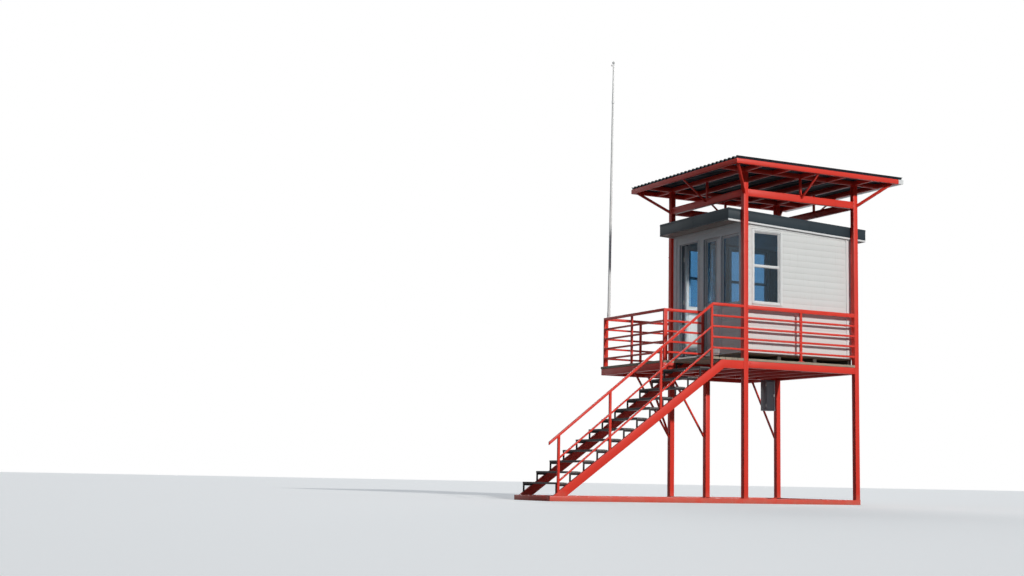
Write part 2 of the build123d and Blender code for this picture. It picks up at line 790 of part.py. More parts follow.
# Canopy struts: diagonal at the corners, a short post and a raking strut at each mid span
reach = canopy_overhang - cw
half_strut = strut_size / 2
corner_half = corner_strut_size / 2
with BuildPart() as canopy_struts:
    for px, py, sx, sy in ((0, 0, -1, -1), (bay_x, 0, 1, -1), (0, bay_y, -1, 1), (bay_x, bay_y, 1, 1)):
        out = Plane(origin=(px, py, 0), x_dir=(sx, sy, 0), z_dir=(sy, -sx, 0))
        up = 1 if out.y_dir.Z > 0 else -1
        r0 = post_half
        r1 = (reach + cw - corner_strut_inset) * sqrt(2)
        lift = (canopy_foot - strut_root_z) / (r1 - r0)
        root_rise = corner_strut_size * sqrt(1 + lift ** 2)
        with BuildSketch(out) as rake:
            with BuildLine():
                Polyline((r0, up * strut_root_z), (r0, up * (strut_root_z + root_rise)),
                         (r1 - root_rise / lift, up * canopy_foot), (r1, up * canopy_foot), close=True)
            make_face()
        extrude(rake.sketch, amount=corner_half, both=True)
    for px in (0, bay_x):
        for py in (0, bay_y):
            cut(px - post_half, px + post_half, py - post_half, py + post_half, strut_root_z, canopy_foot)
    lift = (canopy_foot - side_strut_root_z) / (reach + cw - strut_inset - ub)
    run = strut_size
    for y, s in ((0, -1), (bay_y, 1)):
        cross_plate(
            [(y + s * ub, side_strut_root_z), (y + s * ub, side_strut_root_z + run * lift),
             (y + s * (reach + cw - strut_inset - run), canopy_foot),
             (y + s * (reach + cw - strut_inset), canopy_foot)],
            bay_x / 2 - half_strut, bay_x / 2 + half_strut)
        bar(bay_x / 2 - half_strut, bay_x / 2 + half_strut, y - half_strut, y + half_strut,
            upper_beam_top, canopy_foot)
    for x, s in ((0, -1), (bay_x, 1)):
        side_plate(
            [(x + s * ub, side_strut_root_z), (x + s * ub, side_strut_root_z + run * lift),
             (x + s * (reach + cw - strut_inset - run), canopy_foot),
             (x + s * (reach + cw - strut_inset), canopy_foot)],
            bay_y / 2 - half_strut, bay_y / 2 + half_strut)
        bar(x - half_strut, x + half_strut, bay_y / 2 - half_strut, bay_y / 2 + half_strut,
            upper_beam_top, canopy_foot)
save(canopy_struts.part, "canopy_struts")

# Flag pole beside the terrace corner: flange, socket, two tapered lengths, a sleeve and a ball
pole_y = walkway_y
pole_x = terrace_x + pole_offset
pole_rise = pole_top - rail_top
stretch = sqrt(1 + (pole_lean / pole_rise) ** 2)
shaft_plane = Plane(origin=(pole_x, pole_y, rail_top), x_dir=(pole_rise, 0, -pole_lean), z_dir=(0, -1, 0))
shaft_axis = Axis((pole_x, pole_y, rail_top), (pole_lean, 0, pole_rise))
shaft_foot = pole_flange / 2
shaft_joint = (pole_joint_z - rail_top) * stretch
shaft_tip = (pole_rise - 2 * pole_ball_radius + pole_ball_seat) * stretch
sleeve_end = shaft_joint + pole_sleeve_length
upper_taper = (pole_joint_radius - pole_tip_radius) / (shaft_tip - shaft_joint)
with BuildPart() as pole:
    with BuildSketch(Plane.XY.offset(rail_top)):
        with Locations((pole_x, pole_y)):
            Circle(pole_flange_radius)
    extrude(amount=pole_flange)
    with BuildSketch(Plane.XY.offset(rail_top)):
        with Locations((pole_x, pole_y)):
            Circle(pole_foot_radius + pole_sleeve_wall)
    extrude(amount=pole_socket_length)
    with BuildSketch(shaft_plane):
        with BuildLine():
            Polyline((0, shaft_foot), (pole_foot_radius, shaft_foot), (pole_joint_radius, shaft_joint),
                     (0, shaft_joint), close=True)
        make_face()
    revolve(axis=shaft_axis)
save(pole.part, "pole")

with BuildPart() as pole_upper:
    with BuildSketch(shaft_plane):
        with BuildLine():
            Polyline((0, shaft_joint), (pole_joint_radius + pole_sleeve_wall, shaft_joint),
                     (pole_joint_radius + pole_sleeve_wall, sleeve_end),
                     (pole_joint_radius - upper_taper * pole_sleeve_length, sleeve_end),
                     (pole_tip_radius, shaft_tip), (0, shaft_tip), close=True)
        make_face()
    revolve(axis=shaft_axis)
    ball_rise = pole_rise - pole_ball_radius
    with Locations((pole_x + pole_lean * ball_rise / pole_rise, pole_y, rail_top + ball_rise)):
        Sphere(pole_ball_radius)
save(pole_upper.part, "pole_upper")

# Closed locker hung from the far deck beam beside the right post
with BuildPart() as locker:
    bar(bay_x - post_half - locker_gap - locker_width, bay_x - post_half - locker_gap,
        bay_y - locker_depth / 2, bay_y + locker_depth / 2, deck_beam_foot - locker_height, deck_beam_foot)
save(locker.part, "locker")
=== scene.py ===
"""Looks for the raised beach lookout tower, laid out as a Blender add-on.

Everything is in metres, in the frame of the solids: X runs along the near face to the right,
Y away from the viewer and Z up, with the origin at the foot of the near left post.
"""

from math import ceil, cos, radians, sin

import bpy
from mathutils import Matrix, Vector


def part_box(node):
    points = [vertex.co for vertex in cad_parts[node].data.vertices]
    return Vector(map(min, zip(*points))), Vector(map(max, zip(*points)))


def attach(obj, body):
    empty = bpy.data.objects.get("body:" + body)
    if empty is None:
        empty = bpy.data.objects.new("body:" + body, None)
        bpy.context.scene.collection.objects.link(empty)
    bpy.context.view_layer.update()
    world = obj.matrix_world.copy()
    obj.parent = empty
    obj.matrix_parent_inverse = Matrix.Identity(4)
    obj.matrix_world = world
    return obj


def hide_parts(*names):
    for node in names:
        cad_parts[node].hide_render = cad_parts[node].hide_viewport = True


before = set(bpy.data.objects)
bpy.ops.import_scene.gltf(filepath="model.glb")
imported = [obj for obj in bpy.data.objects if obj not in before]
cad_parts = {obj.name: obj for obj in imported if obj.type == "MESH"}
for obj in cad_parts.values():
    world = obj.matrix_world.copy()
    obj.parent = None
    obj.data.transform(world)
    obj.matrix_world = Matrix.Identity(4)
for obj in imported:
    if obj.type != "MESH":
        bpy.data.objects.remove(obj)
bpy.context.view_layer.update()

bl_info = {
    "name": "Beach Lookout Tower",
    "version": (1, 0, 0),
    "blender": (4, 5, 0),
    "location": "3D View > Sidebar > Lookout",
    "description": "Builds the boards, siding, roofs, doors, fixings and finishes of a raised beach lookout",
    "category": "Object",
}

# Lines of the tower that many pieces share, read from the solids
DECK_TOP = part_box("deck_floor")[1].z
BEAM_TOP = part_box("deck_beams")[1].z
CABIN_LOW, CABIN_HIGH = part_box("cabin_floor")
FLOOR_TOP = CABIN_HIGH.z
POST_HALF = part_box("post_near_left")[1].x
BAY_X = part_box("post_near_right")[1].x - POST_HALF
BAY_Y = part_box("post_far_left")[1].y - POST_HALF

# Cabin: wall thickness, fall of the roof along X, height of its eaves and thickness of its soffit
WALL = 0.09
ROOF_FALL = 0.0425
EAVE_Z = 5.784
SOFFIT = 0.020

# Openings in the walls: where each starts and ends along its wall, and its foot and head
DOOR_HEAD = 5.560
WINDOW_Z = (4.105, 5.615)
FRONT_WINDOW_Z = (4.085, 5.545)
NEAR_WINDOW = (0.309, 0.992)
FAR_WINDOWS = ((0.329, 1.015), (1.429, 2.425))
FRONT_WINDOW = (0.165, 0.812)
RIGHT_WINDOW = (1.060, 1.670)
TERRACE_DOOR = (1.685, 2.400)
LANDING_DOOR = (0.850, 1.465)

# Window sashes: width of their face, half the bar's height and its level, depth of the pane's middle and
# half its thickness, and the outer face of the glazing beads from that middle
SASH_FACE = 0.035
BAR_HALF = 0.020
BAR_Z = 4.883
PANE_DEPTH = 0.036
PANE_HALF = 0.0045
BEAD_DEPTH = 0.016

# Siding and trim: foot of the siding, foot of the trim, start of the laps, and the band under the soffit
SIDING_LOW = 3.062
TRIM_LOW = SIDING_LOW - 0.008
LAP_START = 2.970
LAP_SLOPE = 0.004
FRIEZE = 0.055

# Boards inside round the windows and over the doors: how far they reach past the opening, and their thickness
INNER_REACH = 0.05
INNER_BOARD = 0.016

# Stair: step length, step height and number of steps
GOING = 0.295
RISER = 0.2145
STEPS = 12

# Steel: level of the welded splice in the posts, reach of a weld bead, and distance of bolts from a post
SPLICE_Z = 5.335
BEAD = 0.006
BOLT_INSET = 0.045

# Edges that are eased: sheet, fine trim and boards, and the gap that keeps two faces apart
SHEET_EDGE = 0.001
FINE_EDGE = 0.002
BOARD_EDGE = 0.003
GAP = 0.0005

TUBES = (
    "post_near_left", "post_near_right", "post_far_left", "post_far_right", "post_left_middle",
    "base_beam_near", "base_beam_far", "base_cross_beams", "base_stair_frame", "deck_beams", "deck_joists",
    "terrace_frame", "knee_braces", "stringer_near", "stringer_far", "upper_beams", "canopy_frame",
    "canopy_struts",
)
RAILS = ("railing_near", "railing_landing", "railing_stair_side", "railing_terrace", "railing_walkway",
         "railing_walkway_end", "stair_handrail")

# Camera, as fitted to the photograph
CAMERA_AT = (-18.273, -25.521, 0.374)
CAMERA_YAW, CAMERA_PITCH, CAMERA_ROLL = radians(26.878), radians(7.175), radians(1.098)
CAMERA_FOCAL = 1528.28
PHOTO_WIDTH = 1024
SENSOR = 36.0


def soffit_z(x):
    """Height of the underside of the sloping soffit."""
    return EAVE_Z - SOFFIT - ROOF_FALL * x


# User settings

def colour_setting(name, what, value):
    """A colour a user may change, linear."""
    return bpy.props.FloatVectorProperty(name=name, description=what, default=value, size=3,
                                         min=0.0, max=1.0, subtype="COLOR")


def length_setting(name, what, value):
    """A length a user may change, in metres."""
    return bpy.props.FloatProperty(name=name, description=what, default=value, min=0.0005, max=5.0,
                                   unit="LENGTH", precision=4)


class TowerSizes(bpy.types.PropertyGroup):
    """Sizes of the boards, laps and fixings."""
    board_gap: length_setting("Board Gap", "Gap between two deck boards", 0.006)
    deck_board: length_setting("Deck Board", "Width of a deck board, rounded to fill the deck", 0.135)
    siding_face: length_setting("Siding Face", "Height of one siding board that shows", 0.131)
    siding_butt: length_setting("Siding Butt", "Thickness of a siding board at its lower edge", 0.014)
    corner_board: length_setting("Corner Board", "Width of the boards that close the cabin's corners", 0.160)
    front_corner: length_setting("Front Corner Board", "Width of the far corner board by the doors", 0.085)
    casing: length_setting("Casing", "Width of the boards round windows and doors", 0.042)
    casing_depth: length_setting("Casing Depth", "How far the casings stand out from the wall", 0.026)
    wave_pitch: length_setting("Wave Pitch", "Distance between crests of the canopy sheet", 0.145)
    tube_edge: length_setting("Tube Edge", "Radius on the edges of posts and beams", 0.006)
    rail_edge: length_setting("Rail Edge", "Radius on the edges of rails", 0.004)
    bolt_size: length_setting("Bolt Size", "Width of a bolt head across its corners", 0.022)


class TowerColours(bpy.types.PropertyGroup):
    """Colours of the finishes."""
    frame_red: colour_setting("Frame Red", "Paint of the steel frame and rails", (0.82, 0.048, 0.028))
    siding_white: colour_setting("Siding White", "Paint of the lapped boards", (0.80, 0.81, 0.79))
    trim_white: colour_setting("Trim White", "Paint of casings, corner boards and doors", (0.83, 0.84, 0.83))
    roof_grey: colour_setting("Roof Grey", "Coating of the roof sheets and fascia", (0.021, 0.035, 0.045))
    deck_wood: colour_setting("Deck Wood", "Weathered deck boards", (0.46, 0.36, 0.24))
    # Near black: partly the steps' own paint and partly painted shade, the shade the treads lie in.
    step_dark: colour_setting("Step Dark", "Paint of the steps", (0.030, 0.022, 0.024))
    locker_grey: colour_setting("Locker Grey", "Paint of the locker", (0.33, 0.36, 0.40))
    pole_white: colour_setting("Pole White", "Coating of the pole", (0.82, 0.82, 0.80))


# Node trees

class Graph:
    """A node tree, with short ways to add nodes. A value is a source to link or a constant to set."""

    def __init__(self, tree):
        self.tree = tree

    def feed(self, socket, value):
        """Link a source to a socket, or set the socket to a constant."""
        if isinstance(value, bpy.types.NodeSocket):
            self.tree.links.new(value, socket)
        else:
            socket.default_value = value

    def feed_all(self, sockets, values):
        """Feed sockets by name, where an underscore stands for a space."""
        for key, value in values.items():
            self.feed(sockets[key.replace("_", " ")], value)

    def add(self, kind, **values):
        """Add a node, feed its sockets and return its outputs."""
        node = self.tree.nodes.new("ShaderNode" + kind)
        self.feed_all(node.inputs, values)
        return node.outputs

    def math(self, operation, first, second=0.0, clamp=False):
        """Result of a math node on two values."""
        node = self.tree.nodes.new("ShaderNodeMath")
        node.operation, node.use_clamp = operation, clamp
        self.feed(node.inputs[0], first)
        self.feed(node.inputs[1], second)
        return node.outputs[0]

    def times(self, first, second, clamp=False):
        """Product of two values."""
        return self.math("MULTIPLY", first, second, clamp)

    def mix(self, factor, first, second, blend="MIX"):
        """Colour mix of two values by a factor."""
        node = self.tree.nodes.new("ShaderNodeMix")
        node.data_type, node.blend_type, node.clamp_result = "RGBA", blend, True
        for number, value in ((0, factor), (6, first), (7, second)):
            self.feed(node.inputs[number], value)
        return node.outputs[2]

    def ramp(self, source, low, high, out_low=0.0, out_high=1.0):
        """A source remapped smoothly from one range to another."""
        node = self.tree.nodes.new("ShaderNodeMapRange")
        node.interpolation_type = "SMOOTHSTEP"
        self.feed_all(node.inputs, {"Value": source, "From Min": low, "From Max": high,
                                    "To Min": out_low, "To Max": out_high})
        return node.outputs["Result"]

    def noise(self, vector, **values):
        """Strength of a noise pattern at a position."""
        return self.add("TexNoise", Vector=vector, **values)["Fac"]

    def stretched(self, vector, scales, shift=None):
        """A position scaled along each axis, and moved along X."""
        parts = self.add("SeparateXYZ", Vector=vector)
        x, y, z = [self.times(parts[axis], scale) for axis, scale in zip("XYZ", scales)]
        if shift:
            x = self.math("ADD", x, shift)
        return self.add("CombineXYZ", X=x, Y=y, Z=z)["Vector"]

    def seen_ray(self):
        """A mask of the rays seen straight, by a reflection or through glass, and all facts of the ray."""
        path = self.add("LightPath")
        bounced = self.math("MAXIMUM", path["Is Glossy Ray"], path["Is Transmission Ray"])
        return self.math("MAXIMUM", path["Is Camera Ray"], bounced), path


# Effects that more than one finish uses

class Effect(Graph):
    """A shader node group that reads a position and named values, and puts out named masks."""

    def __init__(self, name, values, results):
        super().__init__(bpy.data.node_groups.new(name, "ShaderNodeTree"))
        face = self.tree.interface
        face.new_socket("Position", in_out="INPUT", socket_type="NodeSocketVector")
        for label, value in values.items():
            face.new_socket(label, in_out="INPUT", socket_type="NodeSocketFloat").default_value = value
        for label in results:
            face.new_socket(label, in_out="OUTPUT", socket_type="NodeSocketFloat")
        self.given = self.tree.nodes.new("NodeGroupInput").outputs
        self.results = self.tree.nodes.new("NodeGroupOutput").inputs
        self.position = self.given["Position"]

    def inverse(self, label):
        """One divided by a given value."""
        return self.math("DIVIDE", 1.0, self.given[label])

    def by_amount(self, mask):
        """A mask times the given amount."""
        return self.times(mask, self.given["Amount"], True)


def patchy_tone():
    """Slow, uneven change of a paint's tone, with fine grain on top."""
    group = Effect("Patchy Tone", {"Patch Size": 0.5, "Fine Size": 0.02, "Contrast": 0.5}, ["Tone", "Fine"])
    slow = group.noise(group.position, Scale=group.inverse("Patch Size"), Detail=5.0, Roughness=0.6)
    lifted = group.times(group.math("SUBTRACT", slow, 0.5), group.given["Contrast"])
    fine = group.noise(group.position, Scale=group.inverse("Fine Size"), Detail=2.0)
    group.feed_all(group.results, {"Tone": group.math("ADD", lifted, 0.5, True), "Fine": fine})
    return group.tree


def rain_streaks():
    """Rain streaks that run down, as a mask."""
    group = Effect("Rain Streaks", {"Width": 0.04, "Length": 1.2, "Amount": 0.5}, ["Mask"])
    wide = group.inverse("Width")
    drawn = group.stretched(group.position, (wide, wide, group.inverse("Length")))
    streak = group.ramp(group.noise(drawn, Scale=1.0, Detail=4.0, Roughness=0.65), 0.52, 0.78)
    group.feed(group.results["Mask"], group.by_amount(streak))
    return group.tree


def low_dust():
    """Dust and sand that cling to the lowest part, as a mask."""
    group = Effect("Low Dust", {"Height": 0.35, "Amount": 0.6}, ["Mask"])
    height = group.given["Height"]
    rise = group.times(group.noise(group.position, Scale=7.0, Detail=6.0, Roughness=0.7), height)
    level = group.math("SUBTRACT", rise, group.add("SeparateXYZ", Vector=group.position)["Z"])
    share = group.times(group.math("DIVIDE", level, height), 1.6)
    group.feed(group.results["Mask"], group.by_amount(group.math("ADD", share, 0.05, True)))
    return group.tree


def board_grain():
    """Wood grain that runs along X of the given position, with a tone and a shift for each board."""
    group = Effect("Board Grain", {"Spacing": 0.012, "Stretch": 18.0}, ["Grain", "Board", "Cracks"])
    board = group.add("NewGeometry")["Random Per Island"]
    tight = group.inverse("Spacing")
    along = group.math("DIVIDE", tight, group.given["Stretch"])
    drawn = group.stretched(group.position, (along, tight, tight), group.times(board, 37.0))
    grain = group.noise(drawn, Scale=1.0, Detail=6.0, Roughness=0.62, Distortion=0.35)
    crack = group.noise(drawn, Scale=0.35, Detail=8.0, Roughness=0.8)
    group.feed_all(group.results, {"Grain": grain, "Board": board, "Cracks": group.ramp(crack, 0.60, 0.68)})
    return group.tree


def paint_chips():
    """Small chips and rust specks in paint, and a halo round them, as masks."""
    group = Effect("Paint Chips", {"Size": 0.03, "Amount": 0.5}, ["Chips", "Halo"])
    fine = group.noise(group.position, Scale=group.inverse("Size"), Detail=8.0, Roughness=0.7)
    wide = group.noise(group.position, Scale=1.7, Detail=2.0)
    both = group.math("ADD", fine, group.times(wide, 0.45))
    group.feed_all(group.results, {"Chips": group.by_amount(group.ramp(both, 0.995, 1.02)),
                                   "Halo": group.by_amount(group.ramp(both, 0.93, 1.01))})
    return group.tree


EFFECTS = {"Patchy Tone": patchy_tone, "Rain Streaks": rain_streaks, "Low Dust": low_dust,
           "Board Grain": board_grain, "Paint Chips": paint_chips}


# Finishes

class Finish(Graph):
    """A new material with its shader's sockets, and the object position to build patterns on."""

    def __init__(self, name):
        self.material = bpy.data.materials.new(name)
        self.material.use_nodes = True
        super().__init__(self.material.node_tree)
        self.shader = self.tree.nodes["Principled BSDF"].inputs
        self.position = self.add("TexCoord")["Object"]

    def effect(self, name, position=None, **values):
        """Place one shared effect with its own values, and return its outputs."""
        node = self.tree.nodes.new("ShaderNodeGroup")
        node.node_tree = bpy.data.node_groups.get(name) or EFFECTS[name]()
        self.feed(node.inputs["Position"], position or self.position)
        self.feed_all(node.inputs, values)
        return node.outputs

    def made(self, height, strength, distance, **values):
        """Feed the shader's sockets and, from a height, its normal, and return the material."""
        self.feed_all(self.shader, values)
        bump = self.add("Bump", Height=height, Strength=strength, Distance=distance)
        self.feed(self.shader["Normal"], bump["Normal"])
        return self.material


def shade(colour, factor):
    """A colour made lighter or darker."""
    return (*[min(1.0, channel * factor) for channel in colour], 1.0)


def paint(name, colour, rough=0.42, coat=0.08, dust=0.0, streaks=0.2, chips=0.0, patch=0.7, bump=0.10,
          rust=(0.16, 0.055, 0.025)):
    """Satin paint on metal or board, faded in patches, streaked, dusty at the foot and chipped."""
    look = Finish(name)
    tone = look.effect("Patchy Tone", Patch_Size=patch, Fine_Size=0.004, Contrast=1.1)
    base = look.mix(tone["Tone"], shade(colour, 0.86), shade(colour, 1.10))
    run = look.effect("Rain Streaks", Width=0.035, Length=1.4, Amount=streaks)
    base = look.mix(run["Mask"], base, shade(colour, 0.66))
    roughness = look.ramp(tone["Tone"], 0.2, 0.8, rough + 0.08, rough - 0.06)
    height = tone["Fine"]
    if chips:
        spots = look.effect("Paint Chips", Size=0.028, Amount=chips)
        base = look.mix(spots["Halo"], base, shade(colour, 0.62))
        base = look.mix(spots["Chips"], base, (*rust, 1.0))
        height = look.math("SUBTRACT", height, look.times(spots["Chips"], 2.0))
        roughness = look.math("ADD", roughness, look.times(spots["Chips"], 0.35), True)
    if dust:
        sand = look.effect("Low Dust", Height=0.42, Amount=dust)
        base = look.mix(sand["Mask"], base, (0.40, 0.31, 0.22, 1.0))
        roughness = look.math("ADD", roughness, look.times(sand["Mask"], 0.4), True)
    return look.made(height, bump, 0.002, Base_Color=base, Roughness=roughness, Metallic=0.0,
                     Specular_IOR_Level=0.22, Coat_Weight=coat, Coat_Roughness=0.22)


def timber(name, colour, grey, turn=0.0, wear=0.5):
    """Weathered boards with grain along X, or along Y with a quarter turn."""
    look = Finish(name)
    turned = look.add("Mapping", Vector=look.position, Rotation=(0.0, 0.0, turn))["Vector"]
    grain = look.effect("Board Grain", turned, Spacing=0.010, Stretch=20.0)
    tone = look.effect("Patchy Tone", Patch_Size=0.6, Fine_Size=0.006, Contrast=1.2)
    base = look.mix(look.ramp(grain["Grain"], 0.32, 0.68), shade(colour, 0.62), shade(colour, 1.16))
    board = look.mix(look.ramp(grain["Board"], 0.0, 1.0), (0.78, 0.78, 0.78, 1.0), (1.0, 1.0, 1.0, 1.0))
    base = look.mix(1.0, base, board, "MULTIPLY")
    base = look.mix(look.times(tone["Tone"], wear), base, (*grey, 1.0))
    base = look.mix(look.times(grain["Cracks"], 0.7), base, shade(colour, 0.25))
    height = look.math("SUBTRACT", grain["Grain"], look.times(grain["Cracks"], 0.9))
    return look.made(height, 0.35, 0.003, Base_Color=base,
                     Roughness=look.ramp(grain["Grain"], 0.3, 0.7, 0.86, 0.66))


def lapped_paint(name, colour):
    """House paint on lapped boards: each board a little different, faint grain and streaks."""
    look = Finish(name)
    tone = look.effect("Patchy Tone", Patch_Size=0.9, Fine_Size=0.005, Contrast=1.0)
    run = look.effect("Rain Streaks", Width=0.03, Length=0.9, Amount=0.22)
    drawn = look.stretched(look.position, (5.0, 5.0, 120.0))
    fibre = look.noise(drawn, Scale=1.0, Detail=5.0, Roughness=0.6)
    base = look.mix(tone["Tone"], shade(colour, 0.95), shade(colour, 1.03))
    board = look.ramp(look.add("NewGeometry")["Random Per Island"], 0.0, 1.0, 0.0, 0.55)
    base = look.mix(board, base, shade(colour, 0.93))
    base = look.mix(run["Mask"], base, (0.46, 0.45, 0.40, 1.0))
    return look.made(fibre, 0.16, 0.002, Base_Color=base, Roughness=look.ramp(fibre, 0.3, 0.7, 0.58, 0.46))


def window_glass(name, tint_with_painted_sky):
    """Tinted glass with smears in its roughness, which lets sunlight through. Its blue tint also stands in
    for the sky that the glass reflects: a painted reflection.
    """
    look = Finish(name)
    tone = look.effect("Patchy Tone", Patch_Size=0.35, Fine_Size=0.01, Contrast=1.4)["Tone"]
    sunlit = look.add("LightPath")["Is Shadow Ray"]
    return look.made(tone, 0.02, 0.002, Metallic=0.0, Transmission_Weight=0.98, IOR=1.30,
                     Alpha=look.math("SUBTRACT", 1.0, look.times(sunlit, 0.9)),
                     Base_Color=look.mix(tone, shade(tint_with_painted_sky, 0.92), shade(tint_with_painted_sky, 1.06)),
                     Roughness=look.ramp(tone, 0.3, 0.8, 0.015, 0.07))


def bare_metal(name, colour, rough=0.34):
    """Brushed or zinc-coated steel with stains."""
    look = Finish(name)
    tone = look.effect("Patchy Tone", Patch_Size=0.05, Fine_Size=0.001, Contrast=1.5)
    spots = look.effect("Paint Chips", Size=0.012, Amount=0.6)
    base = look.mix(tone["Tone"], shade(colour, 0.72), shade(colour, 1.12))
    return look.made(tone["Fine"], 0.12, 0.0006, Metallic=0.9,
                     Base_Color=look.mix(spots["Halo"], base, (0.22, 0.10, 0.05, 1.0)),
                     Roughness=look.ramp(tone["Fine"], 0.3, 0.7, rough - 0.08, rough + 0.12))


def lining_paint(name, colour, axis):
    """Painted tongue-and-groove lining inside the cabin, with grooves along the wall."""
    look = Finish(name)
    tone = look.effect("Patchy Tone", Patch_Size=0.8, Fine_Size=0.006, Contrast=1.0)
    along = look.add("SeparateXYZ", Vector=look.position)[axis]
    share = look.math("FRACT", look.math("DIVIDE", along, 0.095))
    groove = look.ramp(look.math("ABSOLUTE", look.math("SUBTRACT", share, 0.5)), 0.455, 0.49)
    base = look.mix(tone["Tone"], shade(colour, 0.92), shade(colour, 1.05))
    return look.made(look.math("SUBTRACT", 1.0, groove), 0.6, 0.004,
                     Base_Color=look.mix(groove, base, shade(colour, 0.45)),
                     Roughness=look.ramp(tone["Fine"], 0.3, 0.7, 0.46, 0.6))


# Each finish: the record's slot, the maker, the material's name, its colour or colour setting, and the rest
QUARTER = radians(90)
DECK_GREY = (0.40, 0.38, 0.34)
# The cabin's inner lining is a dark grey-blue that stands in for the shade inside the cabin: painted shade.
LINING_IN_PAINTED_SHADE = (0.19, 0.21, 0.23)
FINISHES = {
    # The soffit is white trim. Its grey-beige stands in for the shade under the eaves: painted shade.
    "soffit": ("trim_white", paint, "Soffit Paint", (0.46, 0.44, 0.40),
               {"rough": 0.5, "coat": 0.0, "streaks": 0.15, "bump": 0.06}),
    "gutter": ("gutter_white", paint, "Gutter Coating", "trim_white",
               {"rough": 0.28, "coat": 0.35, "streaks": 0.3, "bump": 0.03}),
    "frame_red": ("frame_red", paint, "Frame Red Paint", "frame_red",
                  {"dust": 0.38, "streaks": 0.28, "chips": 0.55}),
    "rail_red": ("frame_red", paint, "Rail Red Paint", "frame_red",
                 {"streaks": 0.18, "chips": 0.45, "patch": 0.4}),
    "siding": ("wall_white", lapped_paint, "Siding Paint", "siding_white", {}),
    "trim": ("trim_white", paint, "Trim Paint", "trim_white",
             {"rough": 0.42, "coat": 0.1, "streaks": 0.25, "bump": 0.08}),
    "door": ("door_white", paint, "Door Paint", "trim_white",
             {"rough": 0.36, "coat": 0.15, "streaks": 0.15, "bump": 0.05}),
    "roof": ("roof_grey", paint, "Roof Coating", "roof_grey",
             {"rough": 0.50, "coat": 0.04, "streaks": 0.35, "patch": 0.9, "bump": 0.06}),
    "canopy": ("roof_grey", paint, "Canopy Sheet", "roof_grey",
               {"rough": 0.5, "coat": 0.08, "streaks": 0.3, "patch": 0.6, "bump": 0.06}),
    # Steps: near-black paint that is partly painted shade on the treads.
    "steps": ("step_dark", paint, "Step Paint", "step_dark",
              {"rough": 0.55, "coat": 0.05, "streaks": 0.2, "chips": 0.5, "dust": 0.5,
               "rust": (0.10, 0.05, 0.035)}),
    "boards_x": ("deck_wood", timber, "Deck Boards Along X", "deck_wood", {"grey": DECK_GREY}),
    "boards_y": ("deck_wood", timber, "Deck Boards Along Y", "deck_wood",
                 {"grey": DECK_GREY, "turn": QUARTER}),
    # The bearers are near black, darker than the deck's timber, to stand in for the shade under the cabin:
    # painted shade.
    "bearers": ("floor_wood", timber, "Bearer Timber", (0.085, 0.068, 0.052),
                {"grey": (0.09, 0.085, 0.075), "turn": QUARTER}),
    "floor": ("floor_wood", timber, "Cabin Floor Boards", (0.33, 0.25, 0.17),
              {"grey": (0.30, 0.27, 0.23), "wear": 0.35}),
    "lining_x": (None, lining_paint, "Lining Along X", LINING_IN_PAINTED_SHADE, {"axis": "X"}),
    "lining_y": (None, lining_paint, "Lining Along Y", LINING_IN_PAINTED_SHADE, {"axis": "Y"}),
    # The blue tint is partly the glass's own and partly a painted reflection of the sky.
    "glass": (None, window_glass, "Window Glass", (0.24, 0.43, 0.60), {}),
    "steel": ("fitting_steel", bare_metal, "Fitting Steel", (0.52, 0.52, 0.51), {}),
    "zinc": ("fitting_steel", bare_metal, "Zinc Bolts", (0.36, 0.36, 0.36), {"rough": 0.45}),
    "worn_zinc": (None, paint, "Worn Zinc", (0.22, 0.20, 0.19),
                  {"rough": 0.6, "coat": 0.0, "streaks": 0.3, "patch": 0.2}),
    "pole": ("pole_white", paint, "Pole Coating", "pole_white",
             {"rough": 0.24, "coat": 0.5, "streaks": 0.2, "bump": 0.03}),
    "locker": ("locker_grey", paint, "Locker Paint", "locker_grey",
               {"rough": 0.36, "coat": 0.25, "streaks": 0.25, "chips": 0.4}),
}


def coat(piece, look):
    """Give a piece one of the finishes, which is made when it is first needed."""
    scene = bpy.context.scene
    key = "tower_" + look
    material = bpy.data.materials.get(scene.get(key, ""))
    if material is None:
        maker, name, colour, values = FINISHES[look][1:]
        if isinstance(colour, str):
            colour = getattr(scene.tower_colours, colour)
        material = maker(name, colour, **values)
        scene[key] = material.name
    piece.data.materials.clear()
    piece.data.materials.append(material)


def dress(piece, look, body="tower", slot=None, stands_for=None):
    """Finish a piece, hide the node it stands for, shade it and let it ride on a body."""
    if stands_for:
        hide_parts(stands_for)
    coat(piece, look)
    slot = slot or FINISHES[look][0]
    only(piece)
    bpy.ops.object.shade_smooth_by_angle(angle=radians(35))
    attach(piece, body)


# Modelling by hand

def only(piece):
    """Select this piece alone and make it active."""
    bpy.ops.object.select_all(action="DESELECT")
    piece.select_set(True)
    bpy.context.view_layer.objects.active = piece


def edit(piece):
    """Start to edit a piece, with all of it selected."""
    only(piece)
    bpy.ops.object.mode_set(mode="EDIT")
    bpy.ops.mesh.select_all(action="SELECT")


def done():
    """Leave edit mode."""
    bpy.ops.object.mode_set(mode="OBJECT")


def pick(piece, test, kind="VERT"):
    """In edit mode, select the vertices, edges or faces that pass a test on their centre."""
    bpy.ops.mesh.select_mode(type=kind)
    bpy.ops.mesh.select_all(action="DESELECT")
    bpy.ops.object.mode_set(mode="OBJECT")
    mesh = piece.data
    for item in {"VERT": mesh.vertices, "EDGE": mesh.edges, "FACE": mesh.polygons}[kind]:
        if kind == "VERT":
            centre = item.co
        elif kind == "EDGE":
            centre = (mesh.vertices[item.vertices[0]].co + mesh.vertices[item.vertices[1]].co) / 2
        else:
            centre = item.center
        if test(centre, item):
            item.select = True
    bpy.ops.object.mode_set(mode="EDIT")


